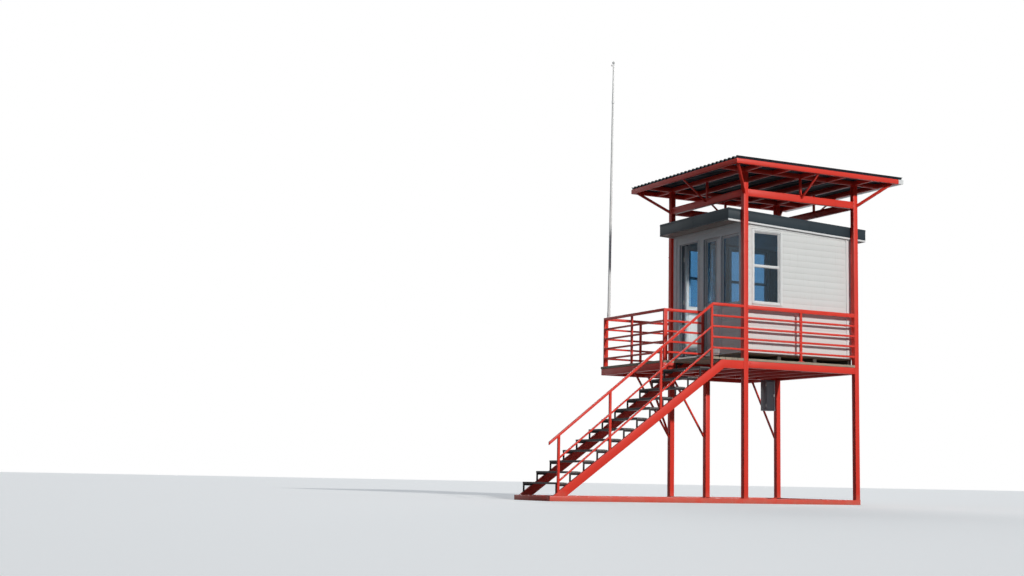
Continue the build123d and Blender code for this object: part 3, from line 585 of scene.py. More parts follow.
def settled(name):
    """Name the new primitive and put its place, turn and size in its mesh."""
    piece = bpy.context.object
    piece.name = name
    bpy.ops.object.transform_apply(location=True, rotation=True, scale=True)
    return piece


def block(name, corner, opposite, edge=0.0, segments=1):
    """A box between two opposite corners, with its edges rounded."""
    low = Vector([min(pair) for pair in zip(corner, opposite)])
    high = Vector([max(pair) for pair in zip(corner, opposite)])
    bpy.ops.object.select_all(action="DESELECT")
    bpy.ops.mesh.primitive_cube_add(size=1, location=(low + high) / 2)
    bpy.context.object.scale = high - low
    piece = settled(name)
    if edge:
        edit(piece)
        bpy.ops.mesh.bevel(offset=edge, segments=segments, affect="EDGES", clamp_overlap=True)
        done()
    return piece


def cylinder(name, sides, radius, depth, centre, turn=(0, 0, 0)):
    """An upright cylinder at its size and place, turned."""
    bpy.ops.object.select_all(action="DESELECT")
    bpy.ops.mesh.primitive_cylinder_add(vertices=sides, radius=radius, depth=depth, location=centre,
                                        rotation=turn)
    return settled(name)


def use(piece, kind, **values):
    """Add a modifier with its values and apply it."""
    only(piece)
    modifier = piece.modifiers.new(kind.title(), kind)
    for key, value in values.items():
        setattr(modifier, key, value)
    bpy.ops.object.modifier_apply(modifier=modifier.name)
    return piece


def row(piece, step, count):
    """Repeat a piece's mesh at an even step."""
    return use(piece, "ARRAY", count=count, use_relative_offset=False, use_constant_offset=True,
               constant_offset_displace=step)


def copied(piece, offset):
    """A copy with its own mesh, moved by an offset."""
    twin = piece.copy()
    twin.data = piece.data.copy()
    twin.data.transform(Matrix.Translation(Vector(offset)))
    bpy.context.scene.collection.objects.link(twin)
    return twin


def joined(name, pieces):
    """Join pieces into the first one."""
    only(pieces[0])
    for piece in pieces:
        piece.select_set(True)
    if len(pieces) > 1:
        bpy.ops.object.join()
    pieces[0].name = name
    pieces[0].data.name = name
    return pieces[0]


def carve(piece, boxes):
    """Cut rectangular spaces out of a piece."""
    for corner, opposite in boxes:
        tool = block("cutter", corner, opposite)
        use(piece, "BOOLEAN", operation="DIFFERENCE", solver="EXACT", object=tool)
        bpy.data.objects.remove(tool)
    return piece


def slice_off(piece, point, normal):
    """Cut off what lies beyond a plane and close the cut."""
    edit(piece)
    bpy.ops.mesh.bisect(plane_co=point, plane_no=normal, use_fill=True, clear_outer=True)
    done()


def lean(piece):
    """Tilt a level piece so that it follows the cabin roof's fall along X."""
    tilt = Matrix.Identity(4)
    tilt[2][0] = -ROOF_FALL
    piece.data.transform(tilt)
    piece.data.update()
    return piece


def clean_copy(node, name):
    """A merged copy of a solid's mesh, to be worked on."""
    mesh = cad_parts[node].data.copy()
    piece = bpy.data.objects.new(name, mesh)
    bpy.context.scene.collection.objects.link(piece)
    edit(piece)
    bpy.ops.mesh.remove_doubles(threshold=0.00002)
    bpy.ops.mesh.dissolve_limited(angle_limit=radians(0.8))
    done()
    mesh.name = name
    for attribute in [a for a in mesh.attributes if a.name == "custom_normal"]:
        mesh.attributes.remove(attribute)
    return piece


def softened(node, name, edge):
    """A copy of a solid with its sharp edges rounded, which stands for it."""
    piece = clean_copy(node, name)
    use(piece, "BEVEL", width=edge, segments=2, limit_method="ANGLE", angle_limit=radians(32),
        use_clamp_overlap=True, harden_normals=False)
    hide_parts(node)
    return piece


def face_of(axis, line, side):
    """A function that gives two opposite corners on an upright face across an axis."""
    def span(s0, s1, d0, d1, z0, z1):
        """From s0 to s1 along the face, d0 to d1 out from it, and z0 to z1 up."""
        first, last = Vector((0, 0, z0)), Vector((0, 0, z1))
        first[1 - axis], last[1 - axis] = s0, s1
        first[axis], last[axis] = line + side * d0, line + side * d1
        return first, last
    return span


def ring(name, corner, opposite, axis, width, edge=0.0):
    """A rectangular frame: a block whose middle is inset, taken out along an axis and bridged."""
    piece = block(name, corner, opposite)
    edit(piece)
    pick(piece, lambda centre, face: abs(face.normal[axis]) > 0.9, "FACE")
    bpy.ops.mesh.inset(thickness=width, depth=0.0, use_individual=True, use_even_offset=True)
    bpy.ops.mesh.delete(type="FACE")
    bpy.ops.mesh.select_mode(type="EDGE")
    bpy.ops.mesh.select_all(action="DESELECT")
    bpy.ops.mesh.select_non_manifold(extend=False)
    bpy.ops.mesh.bridge_edge_loops()
    bpy.ops.mesh.select_all(action="SELECT")
    bpy.ops.mesh.normals_make_consistent(inside=False)
    if edge:
        pick(piece, lambda centre, item: True, "EDGE")
        bpy.ops.mesh.bevel(offset=edge, segments=1, affect="EDGES", clamp_overlap=True)
    done()
    return piece


def bolt_head(centre, axis, out, size):
    """A hexagon bolt head on its washer, facing along an axis."""
    turn = ((0, QUARTER, 0), (QUARTER, 0, 0), (0, 0, 0))[axis]
    washer = 0.0025
    parts = []
    for sides, radius, near, far in ((16, size * 0.72, 0.0, washer),
                                     (6, size * 0.5, washer, washer + size * 0.36)):
        spot = Vector(centre)
        spot[axis] += out * (near + far) / 2
        parts.append(cylinder("bolt", sides, radius, far - near, spot, turn))
        edit(parts[-1])
        bpy.ops.mesh.bevel(offset=0.0007, segments=1, affect="EDGES")
        done()
    return joined("bolt", parts)


def bolts_at(name, spots, look="zinc", size=None):
    """Bolt heads at (centre, axis, side) spots: one is modelled for each way it faces and copied."""
    size = size or bpy.context.scene.tower_sizes.bolt_size
    made, first = [], {}
    for centre, axis, out in spots:
        if (axis, out) in first:
            source, origin = first[axis, out]
            made.append(copied(source, Vector(centre) - origin))
        else:
            made.append(bolt_head(centre, axis, out, size))
            first[axis, out] = (made[-1], Vector(centre))
    dress(joined(name, made), look, slot="fitting_steel")


def board_field(name, low, high, along, notches=(), edge=0.004):
    """Boards laid side by side over a rectangle, each running along one axis, cut round the posts."""
    sizes = bpy.context.scene.tower_sizes
    low, high = Vector(low), Vector(high)
    across = 1 - along
    span = high[across] - low[across] + sizes.board_gap
    count = max(1, round(span / (sizes.deck_board + sizes.board_gap)))
    pitch = span / count
    end = high.copy()
    end[across] = low[across] + pitch - sizes.board_gap
    step = [0.0, 0.0, 0.0]
    step[across] = pitch
    return carve(row(block(name, low, end, edge), step, count), notches)


def screw_field(name, first, steps, radius=0.0045):
    """Small screw heads: one is modelled, then repeated in each direction."""
    piece = cylinder(name, 8, radius, 0.0024, first)
    edit(piece)
    pick(piece, lambda centre, face: face.normal.z > 0.9, "FACE")
    bpy.ops.mesh.inset(thickness=0.0014, depth=0.0)
    bpy.ops.transform.translate(value=(0, 0, -0.0008))
    done()
    for step, count in steps:
        row(piece, step, count)
    return piece


# Steel frame, rails and stair

class TOWER_OT_steel_frame(bpy.types.Operator):
    """Round the edges of the square tubes and lay weld beads round the feet and heads of the posts"""
    bl_idname = "tower.steel_frame"
    bl_label = "Steel Frame"

    def execute(self, context):
        for node in TUBES:
            dress(softened(node, node + "_tube", context.scene.tower_sizes.tube_edge), "frame_red")
        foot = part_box("base_beam_near")[1].z
        reach = Vector((BEAD, BEAD, 0))
        beads = []
        for node in [tube for tube in TUBES if tube.startswith("post_")]:
            low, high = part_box(node)
            levels = [(foot - 0.001, foot + BEAD), (high.z - BEAD, high.z + 0.001)]
            if high.z > DECK_TOP:
                levels.append((SPLICE_Z - BEAD, SPLICE_Z + BEAD))
            for z0, z1 in levels:
                beads.append(block("bead", Vector((low.x, low.y, z0)) - reach,
                                   Vector((high.x, high.y, z1)) + reach, 0.0034, 2))
        dress(joined("post_weld_beads", beads), "frame_red")
        return {"FINISHED"}


class TOWER_OT_rails(bpy.types.Operator):
    """Round the rails and set their posts on small bolted foot plates"""
    bl_idname = "tower.rails"
    bl_label = "Railings"

    def execute(self, context):
        for node in RAILS:
            dress(softened(node, node + "_bars", context.scene.tower_sizes.rail_edge), "rail_red")
        near_low, near_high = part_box("railing_near")
        terrace_low, terrace_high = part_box("railing_terrace")
        side_low, side_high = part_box("railing_stair_side")
        tube_half, post_half = 0.02, 0.025
        walkway_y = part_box("railing_walkway")[0].y + tube_half
        mid_bay = BAY_X / 2 - POST_HALF / 2
        feet = ((mid_bay, (near_low.y + near_high.y) / 2, 0),
                (side_high.x - post_half, side_low.y + tube_half, 0),
                ((terrace_low.x + terrace_high.x) / 2, BAY_Y, 1),
                (-POST_HALF - post_half, walkway_y, 0),
                (mid_bay, walkway_y, 0),
                (terrace_low.x + 0.080, walkway_y, 0),
                (BAY_X, (BAY_Y + POST_HALF + walkway_y - tube_half) / 2, 1))
        length, width, top, bolt = 0.075, 0.027, DECK_TOP + 0.008, 0.052
        plates, spots = [], []
        for x, y, along in feet:
            half = Vector((width, length, 0) if along else (length, width, 0))
            plates.append(block("foot", Vector((x, y, DECK_TOP)) - half, Vector((x, y, top)) + half,
                                FINE_EDGE))
            for side in (-1, 1):
                spot = Vector((x, y, top))
                spot[along] += side * bolt
                spots.append((spot, 2, 1))
        dress(joined("rail_foot_plates", plates), "rail_red")
        bolts_at("rail_foot_bolts", spots)
        return {"FINISHED"}


class TOWER_OT_stair(bpy.types.Operator):
    """Round the steps, give each tread anti-slip ribs, a nosing and bars at its ends"""
    bl_idname = "tower.stair"
    bl_label = "Stair"

    def execute(self, context):
        dress(softened("stair_treads", "stair_steps", BOARD_EDGE), "steps")
        low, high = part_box("stair_treads")
        top = DECK_TOP - STEPS * RISER
        bars = [("tread_ribs", (low.x + 0.012, low.y + 0.03, top),
                 (low.x + 0.020, high.y - 0.03, top + 0.004), 0.0015, 7, "steps"),
                ("tread_nosings", (low.x - 0.004, low.y, top - 0.030),
                 (low.x + 0.006, high.y, top + 0.003), FINE_EDGE, 1, "steps")]
        for side, y in (("near", low.y - 0.002), ("far", high.y - 0.001)):
            bars.append((f"tread_end_bars_{side}", (low.x + 0.016, y, top - 0.031),
                         (low.x + 0.034, y + 0.003, top - 0.004), 0.0, 8, "worn_zinc"))
        for name, corner, opposite, edge, count, look in bars:
            piece = row(block(name, corner, opposite, edge), (0.030, 0, 0), count)
            dress(row(piece, (GOING, 0, RISER), STEPS), look)
        return {"FINISHED"}


# Decks and floor

class TOWER_OT_decks(bpy.types.Operator):
    """Lay the deck, terrace, walkway and landing with single boards cut round the posts"""
    bl_idname = "tower.decks"
    bl_label = "Deck Boards"

    def execute(self, context):
        hole = POST_HALF + 0.003
        notches = [((x - hole, y - hole - 0.02, BEAM_TOP - 0.02), (x + hole, y + hole, DECK_TOP + 0.02))
                   for x in (0, BAY_X) for y in (0, BAY_Y)]
        for node, along, look in (("deck_floor", 0, "boards_x"), ("walkway_floor", 0, "boards_x"),
                                  ("terrace_floor", 1, "boards_y")):
            low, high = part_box(node)
            met = [(a, b) for a, b in notches
                   if a[0] < high.x and b[0] > low.x and a[1] < high.y and b[1] > low.y]
            dress(board_field(node + "_boards", low, high, along, met), look, stands_for=node)
        low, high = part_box("landing_floor")
        boards = board_field("landing_boards", (low.x, low.y, BEAM_TOP), high, 1, notches[:1])
        dress(boards, "boards_y", stands_for="landing_floor")
        brackets = clean_copy("landing_floor", "landing_step_brackets")
        slice_off(brackets, (0, 0, BEAM_TOP - GAP), (0, 0, 1))
        dress(brackets, "steps", stands_for="landing_floor")
        lines = 6
        start = (0.010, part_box("deck_floor")[0].y + 0.034, DECK_TOP + 0.0006)
        steps = [((0, 0.068, 0), 2), ((BAY_X / (lines - 1) - 0.004, 0, 0), lines), ((0, 0.13705, 0), 20)]
        dress(carve(screw_field("deck_screws", start, steps), notches[:1]), "zinc")
        return {"FINISHED"}


class TOWER_OT_cabin_floor(bpy.types.Operator):
    """Lay the cabin's floor boards on their bearers"""
    bl_idname = "tower.cabin_floor"
    bl_label = "Cabin Floor"

    def execute(self, context):
        low, high = CABIN_LOW, CABIN_HIGH
        under, width, bearers = high.z - 0.045, 0.09, 4
        boards = board_field("cabin_floor_boards", (low.x, low.y, under), high, 0, edge=FINE_EDGE)
        dress(boards, "floor", stands_for="cabin_floor")
        bearer = block("cabin_bearers", low, (low.x + width, high.y, under), 0.005)
        row(bearer, ((high.x - low.x - width) / (bearers - 1), 0, 0), bearers)
        dress(bearer, "bearers", stands_for="cabin_floor")
        return {"FINISHED"}


# Cabin walls

def siding(name, along, line, out, start, end, holes):
    """Lapped boards on one wall face: one wedge-shaped board, repeated upwards, cut round the openings."""
    sizes = bpy.context.scene.tower_sizes
    face, butt = sizes.siding_face, sizes.siding_butt
    across = 1 - along
    head = LAP_START + face - 0.0008
    span = face_of(across, line, out)
    piece = block(name, *span(start, end, 0.0, butt, LAP_START, head))
    edit(piece)
    pick(piece, lambda c, vertex: (c[across] - line) * out > butt / 2 and c.z > head - 0.001)
    back = [0.0, 0.0, 0.0]
    back[across] = -out * LAP_SLOPE
    bpy.ops.transform.translate(value=back)
    pick(piece, lambda c, edge: (c[across] - line) * out > butt * 0.8 and c.z < LAP_START + 0.001, "EDGE")
    bpy.ops.mesh.bevel(offset=0.0015, segments=2, affect="EDGES")
    done()
    row(piece, (0, 0, face), ceil((soffit_z(0) - LAP_START) / face) + 1)
    carve(piece, [span(s0, s1, -0.05, 0.05, z0, z1) for s0, s1, z0, z1 in holes])
    slice_off(piece, (0, 0, soffit_z(0) - FRIEZE + 0.004), (ROOF_FALL, 0, 1))
    slice_off(piece, (0, 0, SIDING_LOW), (0, 0, -1))
    dress(piece, "siding")


class TOWER_OT_siding(bpy.types.Operator):
    """Clad the four walls with lapped boards"""
    bl_idname = "tower.siding"
    bl_label = "Lapped Siding"

    def execute(self, context):
        sizes = context.scene.tower_sizes
        c = sizes.casing - 0.002
        inset = sizes.corner_board - sizes.casing_depth - 0.002
        y0, y1, x1 = CABIN_LOW.y, CABIN_HIGH.y, CABIN_HIGH.x
        for name, along, line, out, last, windows in (
                ("siding_near", 0, y0, -1, x1, [NEAR_WINDOW]), ("siding_far", 0, y1, 1, x1, FAR_WINDOWS),
                ("siding_right", 1, x1, 1, y1, [RIGHT_WINDOW])):
            first = y0 + inset if along else inset
            siding(name, along, line, out, first, last - inset,
                   [(a - c, b + c, WINDOW_Z[0] - c, WINDOW_Z[1] + c) for a, b in windows])
        window_end = FRONT_WINDOW[1] + 0.001
        siding("siding_front", 1, 0, -1, FRONT_WINDOW[0] - 0.002, y1 - sizes.front_corner + 0.002, [
            (FRONT_WINDOW[0] - 0.1, window_end, FRONT_WINDOW_Z[0] - c, FRONT_WINDOW_Z[1] + c),
            (window_end, LANDING_DOOR[1] + c, SIDING_LOW - 0.1, DOOR_HEAD + c),
            (TERRACE_DOOR[0] - c, TERRACE_DOOR[1] + c, SIDING_LOW - 0.1, DOOR_HEAD + c)])
        return {"FINISHED"}


class TOWER_OT_trim(bpy.types.Operator):
    """Add the corner boards, the frieze under the soffit, the door casings and the door stops"""
    bl_idname = "tower.trim"
    bl_label = "Corner Boards and Casings"

    def execute(self, context):
        sizes = context.scene.tower_sizes
        width, out = sizes.corner_board, sizes.casing_depth
        y0, y1, x1 = CABIN_LOW.y, CABIN_HIGH.y, CABIN_HIGH.x
        far_end = y1 - sizes.front_corner
        edge = BOARD_EDGE
        boards = []
        for x, sx in ((0.0, -1), (x1, 1)):
            for y, sy in ((y0, -1), (y1, 1)):
                top = soffit_z(x + sx * out) - 0.001
                wide = width - out
                boards.append(block("corner", (x + sx * out, y, TRIM_LOW), (x - sx * wide, y + sy * out, top),
                                    edge))
                if sx < 0:
                    wide = FRONT_WINDOW[0] - y0 if sy < 0 else sizes.front_corner
                boards.append(block("corner", (x, y - sy * GAP, TRIM_LOW), (x + sx * out, y - sy * wide, top),
                                    edge))
        piece = joined("corner_boards", boards)
        slice_off(piece, (0, 0, soffit_z(0) - 0.001), (ROOF_FALL, 0, 1))
        dress(piece, "trim")

        z0, z1 = soffit_z(0) - FRIEZE, soffit_z(0) - 0.001
        depth = out - 0.003
        bands = []
        for y, sy in ((y0, -1), (y1, 1)):
            bands.append(block("frieze", (width - out, y, z0), (x1 - width + out, y + sy * depth, z1), edge))
        for x, sx, start, end in ((0.0, -1, FRONT_WINDOW[0], far_end),
                                  (x1, 1, y0 + width - out, y1 - width + out)):
            bands.append(block("frieze", (x, start, z0), (x + sx * depth, end, z1), edge))
        dress(lean(joined("frieze_boards", bands)), "trim")

        c = sizes.casing
        casings, stops, sills = [], [], []

        def board(start, end, foot, head):
            """A casing board on the front wall, from start to end along Y."""
            casings.append(block("casing", (-out, start, foot), (0, end, head), edge))

        for d0, d1 in (LANDING_DOOR, TERRACE_DOOR):
            near = (d0, d1) == TERRACE_DOOR
            left = d0 - (c if near else 0.0)
            board(left, d1 + c, DOOR_HEAD, DOOR_HEAD + c)
            board(d1, d1 + c, TRIM_LOW, DOOR_HEAD - GAP)
            if near:
                board(left, d0, TRIM_LOW, DOOR_HEAD - GAP)
            rest = 0.017
            for s0, s1, foot in ((d0, d0 + rest, FLOOR_TOP), (d1 - rest, d1, FLOOR_TOP),
                                 (d0 + rest, d1 - rest, DOOR_HEAD - rest)):
                stops.append(block("stop", (0.012, s0, foot), (0.036, s1, DOOR_HEAD), FINE_EDGE))
            casings.append(block("casing", (WALL, d0 - INNER_REACH, DOOR_HEAD + 0.004),
                                 (WALL + INNER_BOARD, d1 + INNER_REACH, DOOR_HEAD + 0.06), edge))
            sills.append(block("sill", (-out - 0.018, d0 - 0.01, FLOOR_TOP - 0.030),
                               (0.085, d1 + 0.01, FLOOR_TOP + 0.004), FINE_EDGE))
        (a, b), (foot, head) = FRONT_WINDOW, FRONT_WINDOW_Z
        board(b, LANDING_DOOR[0] - GAP, TRIM_LOW, DOOR_HEAD + c)
        board(a, b - GAP, head, DOOR_HEAD + c)
        board(a, b - GAP, foot - c, foot)
        casings.append(block("casing", (-out - 0.014, a, foot - 0.024), (-out + 0.002, b - GAP, foot - 0.004),
                             edge))
        for name, parts, look in (("door_casings", casings, "trim"), ("door_stops", stops, "trim"),
                                  ("door_sills", sills, "steel")):
            dress(joined(name, parts), look)
        return {"FINISHED"}


# Windows and doors

class TOWER_OT_windows(bpy.types.Operator):
    """Round the window frames, and add casings, sills and drip caps inside and out"""
    bl_idname = "tower.windows"
    bl_label = "Windows"

    def execute(self, context):
        sizes = context.scene.tower_sizes
        c, out = sizes.casing, sizes.casing_depth
        dress(softened("window_frames", "window_sashes", 0.004), "trim")
        y0, y1, x1 = CABIN_LOW.y, CABIN_HIGH.y, CABIN_HIGH.x
        groups = {"casings": [], "inner_casings": [], "sills": [], "beads": [], "stops": []}
        for (a, b), across, line, side in (
                (NEAR_WINDOW, 1, y0, -1), (FAR_WINDOWS[0], 1, y1, 1), (FAR_WINDOWS[1], 1, y1, 1),
                (RIGHT_WINDOW, 0, x1, 1), (FRONT_WINDOW, 0, 0.0, -1)):
            span = face_of(across, line, side)
            start, (foot, head) = a - INNER_REACH, WINDOW_Z
            lights = [(foot + SASH_FACE, BAR_Z - BAR_HALF), (BAR_Z + BAR_HALF, head - SASH_FACE)]
            if (a, b) == FRONT_WINDOW:
                foot, head = FRONT_WINDOW_Z
                start = max(start, y0 + WALL + 0.001)
                lights = [(foot + SASH_FACE, head - SASH_FACE)]
            else:
                groups["casings"].append(ring("casing", *span(a - c, b + c, 0, out, foot - c, head + c),
                                              across, c, BOARD_EDGE))
                groups["stops"].append(ring("stop", *span(a - 0.001, b + 0.001, -0.010, out - 0.006,
                                                          foot - 0.001, head + 0.001), across, 0.024, 0.010))
                groups["sills"].append(block("sill", *span(a - c - 0.006, b + c + 0.006, out - 0.002,
                                                           out + 0.014, foot - 0.026, foot - 0.006), 0.004))
                groups["sills"].append(block("cap", *span(a - c - 0.004, b + c + 0.004, out - 0.004,
                                                          out + 0.010, head + c - 0.008, head + c + 0.004),
                                             FINE_EDGE))
            groups["inner_casings"].append(ring("lining", *span(
                start, b + INNER_REACH, -WALL - INNER_BOARD, -WALL, foot - INNER_REACH, head + INNER_REACH),
                across, 0.052, BOARD_EDGE))
            for z0, z1 in lights:
                for d0, d1 in ((-PANE_DEPTH + PANE_HALF, -PANE_DEPTH + BEAD_DEPTH),
                               (-PANE_DEPTH - BEAD_DEPTH, -PANE_DEPTH - PANE_HALF)):
                    groups["beads"].append(ring("bead", *span(a + SASH_FACE, b - SASH_FACE, d0, d1, z0, z1),
                                                across, 0.010, FINE_EDGE))
        for name, parts in groups.items():
            dress(joined("window_" + name, parts), "trim")
        return {"FINISHED"}


class TOWER_OT_doors(bpy.types.Operator):
    """Panel both doors, bead their glass, and give them kick plates"""
    bl_idname = "tower.doors"
    bl_label = "Doors"

    def execute(self, context):
        for node, axis in (("terrace_door", 1), ("landing_door", 0)):
            low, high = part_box(node)
            pane_low, pane_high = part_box(node + "_pane")
            along = 1 - axis
            bead, margin, field = 0.014, 0.085, 0.045
            start, end = low[along] + margin, high[along] - margin
            foot, head = low.z + 0.16, pane_low.z - 0.13
            dress(softened(node, node + "_leaf", BOARD_EDGE), "door", node)
            mouldings, kicks = [], []
            for line, side in ((high[axis], 1), (low[axis], -1)):
                span = face_of(axis, line, side)
                mouldings += [
                    ring("bead", *span(pane_low[along] - bead, pane_high[along] + bead, 0.0, 0.009,
                                       pane_low.z - bead, pane_high.z + bead), axis, 0.020, BOARD_EDGE),
                    ring("moulding", *span(start, end, 0.0, 0.008, foot, head), axis, 0.022, BOARD_EDGE),
                    block("panel", *span(start + field, end - field, 0.0, 0.007, foot + field, head - field),
                          0.006, 2)]
                kicks.append(block("kick", *span(low[along] + 0.02, high[along] - 0.02, -0.0002, 0.0022,
                                                 low.z + 0.012, low.z + 0.135), 0.0007))
            dress(joined(node + "_mouldings", mouldings), "door", node)
            dress(joined(node + "_kick_plates", kicks), "steel", node)
        return {"FINISHED"}


# Roofs

class TOWER_OT_cabin_roof(bpy.types.Operator):
    """Finish the cabin roof: fascia with its joints, drip edge, soffit boards and standing seams; along the
    left eave a dark strip of painted shade replaces the white drip edge.
    """
    bl_idname = "tower.cabin_roof"
    bl_label = "Cabin Roof"

    def execute(self, context):
        low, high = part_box("cabin_roof")
        left, y0, right, y1 = low.x, low.y, high.x, high.y
        joint, mid, half, bite = 1.70, (y0 + y1) / 2, 0.003, 0.005
        z0, z1 = low.z - 0.1, high.z + 0.1
        cuts = [((joint - half, y + side * 0.01, z0), (joint + half, y - side * bite, z1))
                for y, side in ((y0, -1), (y1, 1))]
        cuts += [((x + side * 0.01, mid - half, z0), (x - side * bite, mid + half, z1))
                 for x, side in ((left, -1), (right, 1))]
        dress(carve(softened("cabin_roof", "roof_body", 0.005), cuts), "roof")
        top, lap, seams = EAVE_Z + 0.215, 0.002, 6
        cap = ring("roof_edge_cap", (left - lap, y0 - lap, top - 0.040), (right + lap, y1 + lap, top + 0.010),
                   2, 0.055, FINE_EDGE)
        dress(lean(cap), "roof")
        seam = block("roof_seams", (left + 0.06, y0 + 0.14, top - 0.002),
                     (right - 0.06, y0 + 0.158, top + 0.030), 0.004)
        row(seam, (0, (y1 - y0 - 0.298) / (seams - 1), 0), seams)
        dress(lean(seam), "roof")

        z0, z1 = EAVE_Z - SOFFIT, EAVE_Z - GAP
        rim, ends = 0.012, 0.015
        slats = board_field("soffit_boards", (left + rim, y0 + rim, z0 + 0.002), (right - rim, y1 - rim, z1),
                            1, edge=BOARD_EDGE)
        dress(lean(slats), "soffit", stands_for="cabin_soffit")
        drip = ring("soffit_drip_edge", (left, y0, z0 - 0.020), (right, y1, z1), 2, 0.014, FINE_EDGE)
        carve(drip, [((left - 0.01, y0 + ends, z0 - 0.1), (left + 0.02, y1 - ends, z1 + 0.1))])
        # Along the left eave the white drip edge is cut away and a roof-grey strip stands in its place:
        # painted shade, where that side lies in shade.
        left_drip_shade = block("soffit_drip_left", (left, y0 + ends, z0 - 0.004), (left + 0.014, y1 - ends, z1),
                     SHEET_EDGE)
        dress(lean(left_drip_shade), "roof")
        dress(lean(drip), "trim")
        return {"FINISHED"}


class TOWER_OT_canopy(bpy.types.Operator):
    """Round the corrugated canopy sheet's edges, and set its screws and washers on every second crest"""
    bl_idname = "tower.canopy"
    bl_label = "Canopy Sheet"

    def execute(self, context):
        low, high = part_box("canopy_roof")
        pitch = context.scene.tower_sizes.wave_pitch
        dress(softened("canopy_roof", "canopy_sheet", 0.0022), "canopy")
        steps = [((BAY_X / 4, 0, 0), 5), ((0, 2 * pitch, 0), round((high.y - low.y) / pitch) // 2)]
        fixings = [screw_field(name, (0, low.y + pitch, high.z + lift), steps, radius)
                   for name, lift, radius in (("screws", 0.0030, 0.0045), ("washers", 0.0008, 0.011))]
        dress(joined("canopy_screws", fixings), "zinc")
        return {"FINISHED"}


class TOWER_OT_gutter(bpy.types.Operator):
    """Roll the gutter's lips, and add its straps, joint bands and end caps"""
    bl_idname = "tower.gutter"
    bl_label = "Canopy Gutter"

    def execute(self, context):
        low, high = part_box("canopy_gutter")
        run = high.y - low.y
        dress(softened("canopy_gutter", "gutter_trough", 0.0018), "gutter")
        parts = [block("lip", (high.x - 0.001, low.y, high.z - 0.016), (high.x + 0.006, high.y, high.z),
                       0.0028, 2)]
        band, sheet = 0.03, 0.0025
        for share in (1 / 3, 2 / 3):
            y = low.y + run * share
            for x, z in ((low.x + 0.004, low.z + 0.002), (high.x - 0.002, high.z - 0.018)):
                parts.append(block("band", (x, y - band, low.z - sheet), (high.x + sheet, y + band, z),
                                   SHEET_EDGE))
        for start, end in ((low.y - 0.003, low.y + 0.002), (high.y - 0.002, high.y + 0.003)):
            parts.append(block("cap", (low.x + 0.001, start, low.z - 0.003),
                               (high.x + 0.003, end, high.z - 0.001), 0.0012))
        dress(joined("gutter_trim", parts), "gutter")
        inside, straps = 0.0045, 6
        strap = block("gutter_straps", (low.x + inside, low.y + 0.18, high.z - 0.0040),
                      (high.x - inside, low.y + 0.205, high.z - 0.0010), SHEET_EDGE)
        dress(row(strap, (0, (run - 0.385) / (straps - 1), 0), straps), "steel")
        return {"FINISHED"}


# Pole, locker and fixings

class TOWER_OT_pole(bpy.types.Operator):
    """Finish the pole, its sleeve and ball, bolt its flange and hang a pulley under its ball"""
    bl_idname = "tower.pole"
    bl_label = "Pole"

    def pulley(self):
        """A small grooved wheel between two cheeks, bolted to the pole's left side under its ball."""
        low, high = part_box("pole_upper")
        shaft = Vector((high.x - 0.034, (low.y + high.y) / 2, high.z - 0.105))
        hub = shaft + Vector((-0.046, 0, -0.004))
        wheel = cylinder("wheel", 24, 0.020, 0.012, hub, (QUARTER, 0, 0))
        edit(wheel)
        pick(wheel, lambda centre, face: abs(face.normal.y) < 0.1, "FACE")
        bpy.ops.mesh.inset(thickness=0.003, depth=-0.004)
        done()
        cheeks = [block("cheek", (hub.x - 0.010, hub.y + side * 0.0075, hub.z - 0.012),
                        (shaft.x - 0.006, hub.y + side * 0.0105, hub.z + 0.012), SHEET_EDGE)
                  for side in (-1, 1)]
        dress(joined("pole_pulley", [wheel, *cheeks]), "zinc")

    def execute(self, context):
        for node in ("pole", "pole_upper"):
            dress(clean_copy(node, node + "_tube"), "pole", stands_for=node)
        low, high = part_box("pole")
        radius = (high.y - low.y) / 2
        centre = Vector((low.x + radius, low.y + radius, low.z + 0.012))
        reach = 0.0455 * cos(radians(45))
        spots = [(centre + Vector((sx * reach, sy * reach, 0)), 2, 1) for sx in (-1, 1) for sy in (-1, 1)]
        bolts_at("pole_flange_bolts", spots, size=0.008)
        self.pulley()
        return {"FINISHED"}


class TOWER_OT_locker(bpy.types.Operator):
    """Give the locker its door, hinges, louvres and latch"""
    bl_idname = "tower.locker"
    bl_label = "Locker"

    def execute(self, context):
        low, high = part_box("locker")
        dress(softened("locker", "locker_box", 0.005), "locker")
        side, rise = 0.018, 0.022
        door = block("locker_door", (low.x + side, low.y - 0.012, low.z + rise),
                     (high.x - side, low.y - 0.001, high.z - rise), BOARD_EDGE, 2)
        edit(door)
        pick(door, lambda centre, face: face.normal.y < -0.9, "FACE")
        bpy.ops.mesh.inset(thickness=0.022, depth=0.0)
        bpy.ops.mesh.inset(thickness=0.006, depth=-0.004)
        done()
        dress(door, "locker")
        louvre = block("locker_louvres", (low.x + 0.075, low.y - 0.0135, high.z - 0.130),
                       (high.x - 0.075, low.y - 0.007, high.z - 0.122), FINE_EDGE)
        dress(row(louvre, (0, 0, 0.018), 3), "locker")
        parts = [block("hinge", (low.x + 0.010, low.y - 0.015, z), (low.x + 0.021, low.y - 0.002, z + 0.05),
                       BOARD_EDGE, 2) for z in (low.z + 0.09, high.z - 0.14)]
        middle = (low.z + high.z) / 2
        parts.append(block("latch", (high.x - 0.052, low.y - 0.020, middle - 0.035),
                           (high.x - 0.032, low.y - 0.010, middle + 0.035), BOARD_EDGE, 2))
        dress(joined("locker_fittings", parts), "steel")
        return {"FINISHED"}


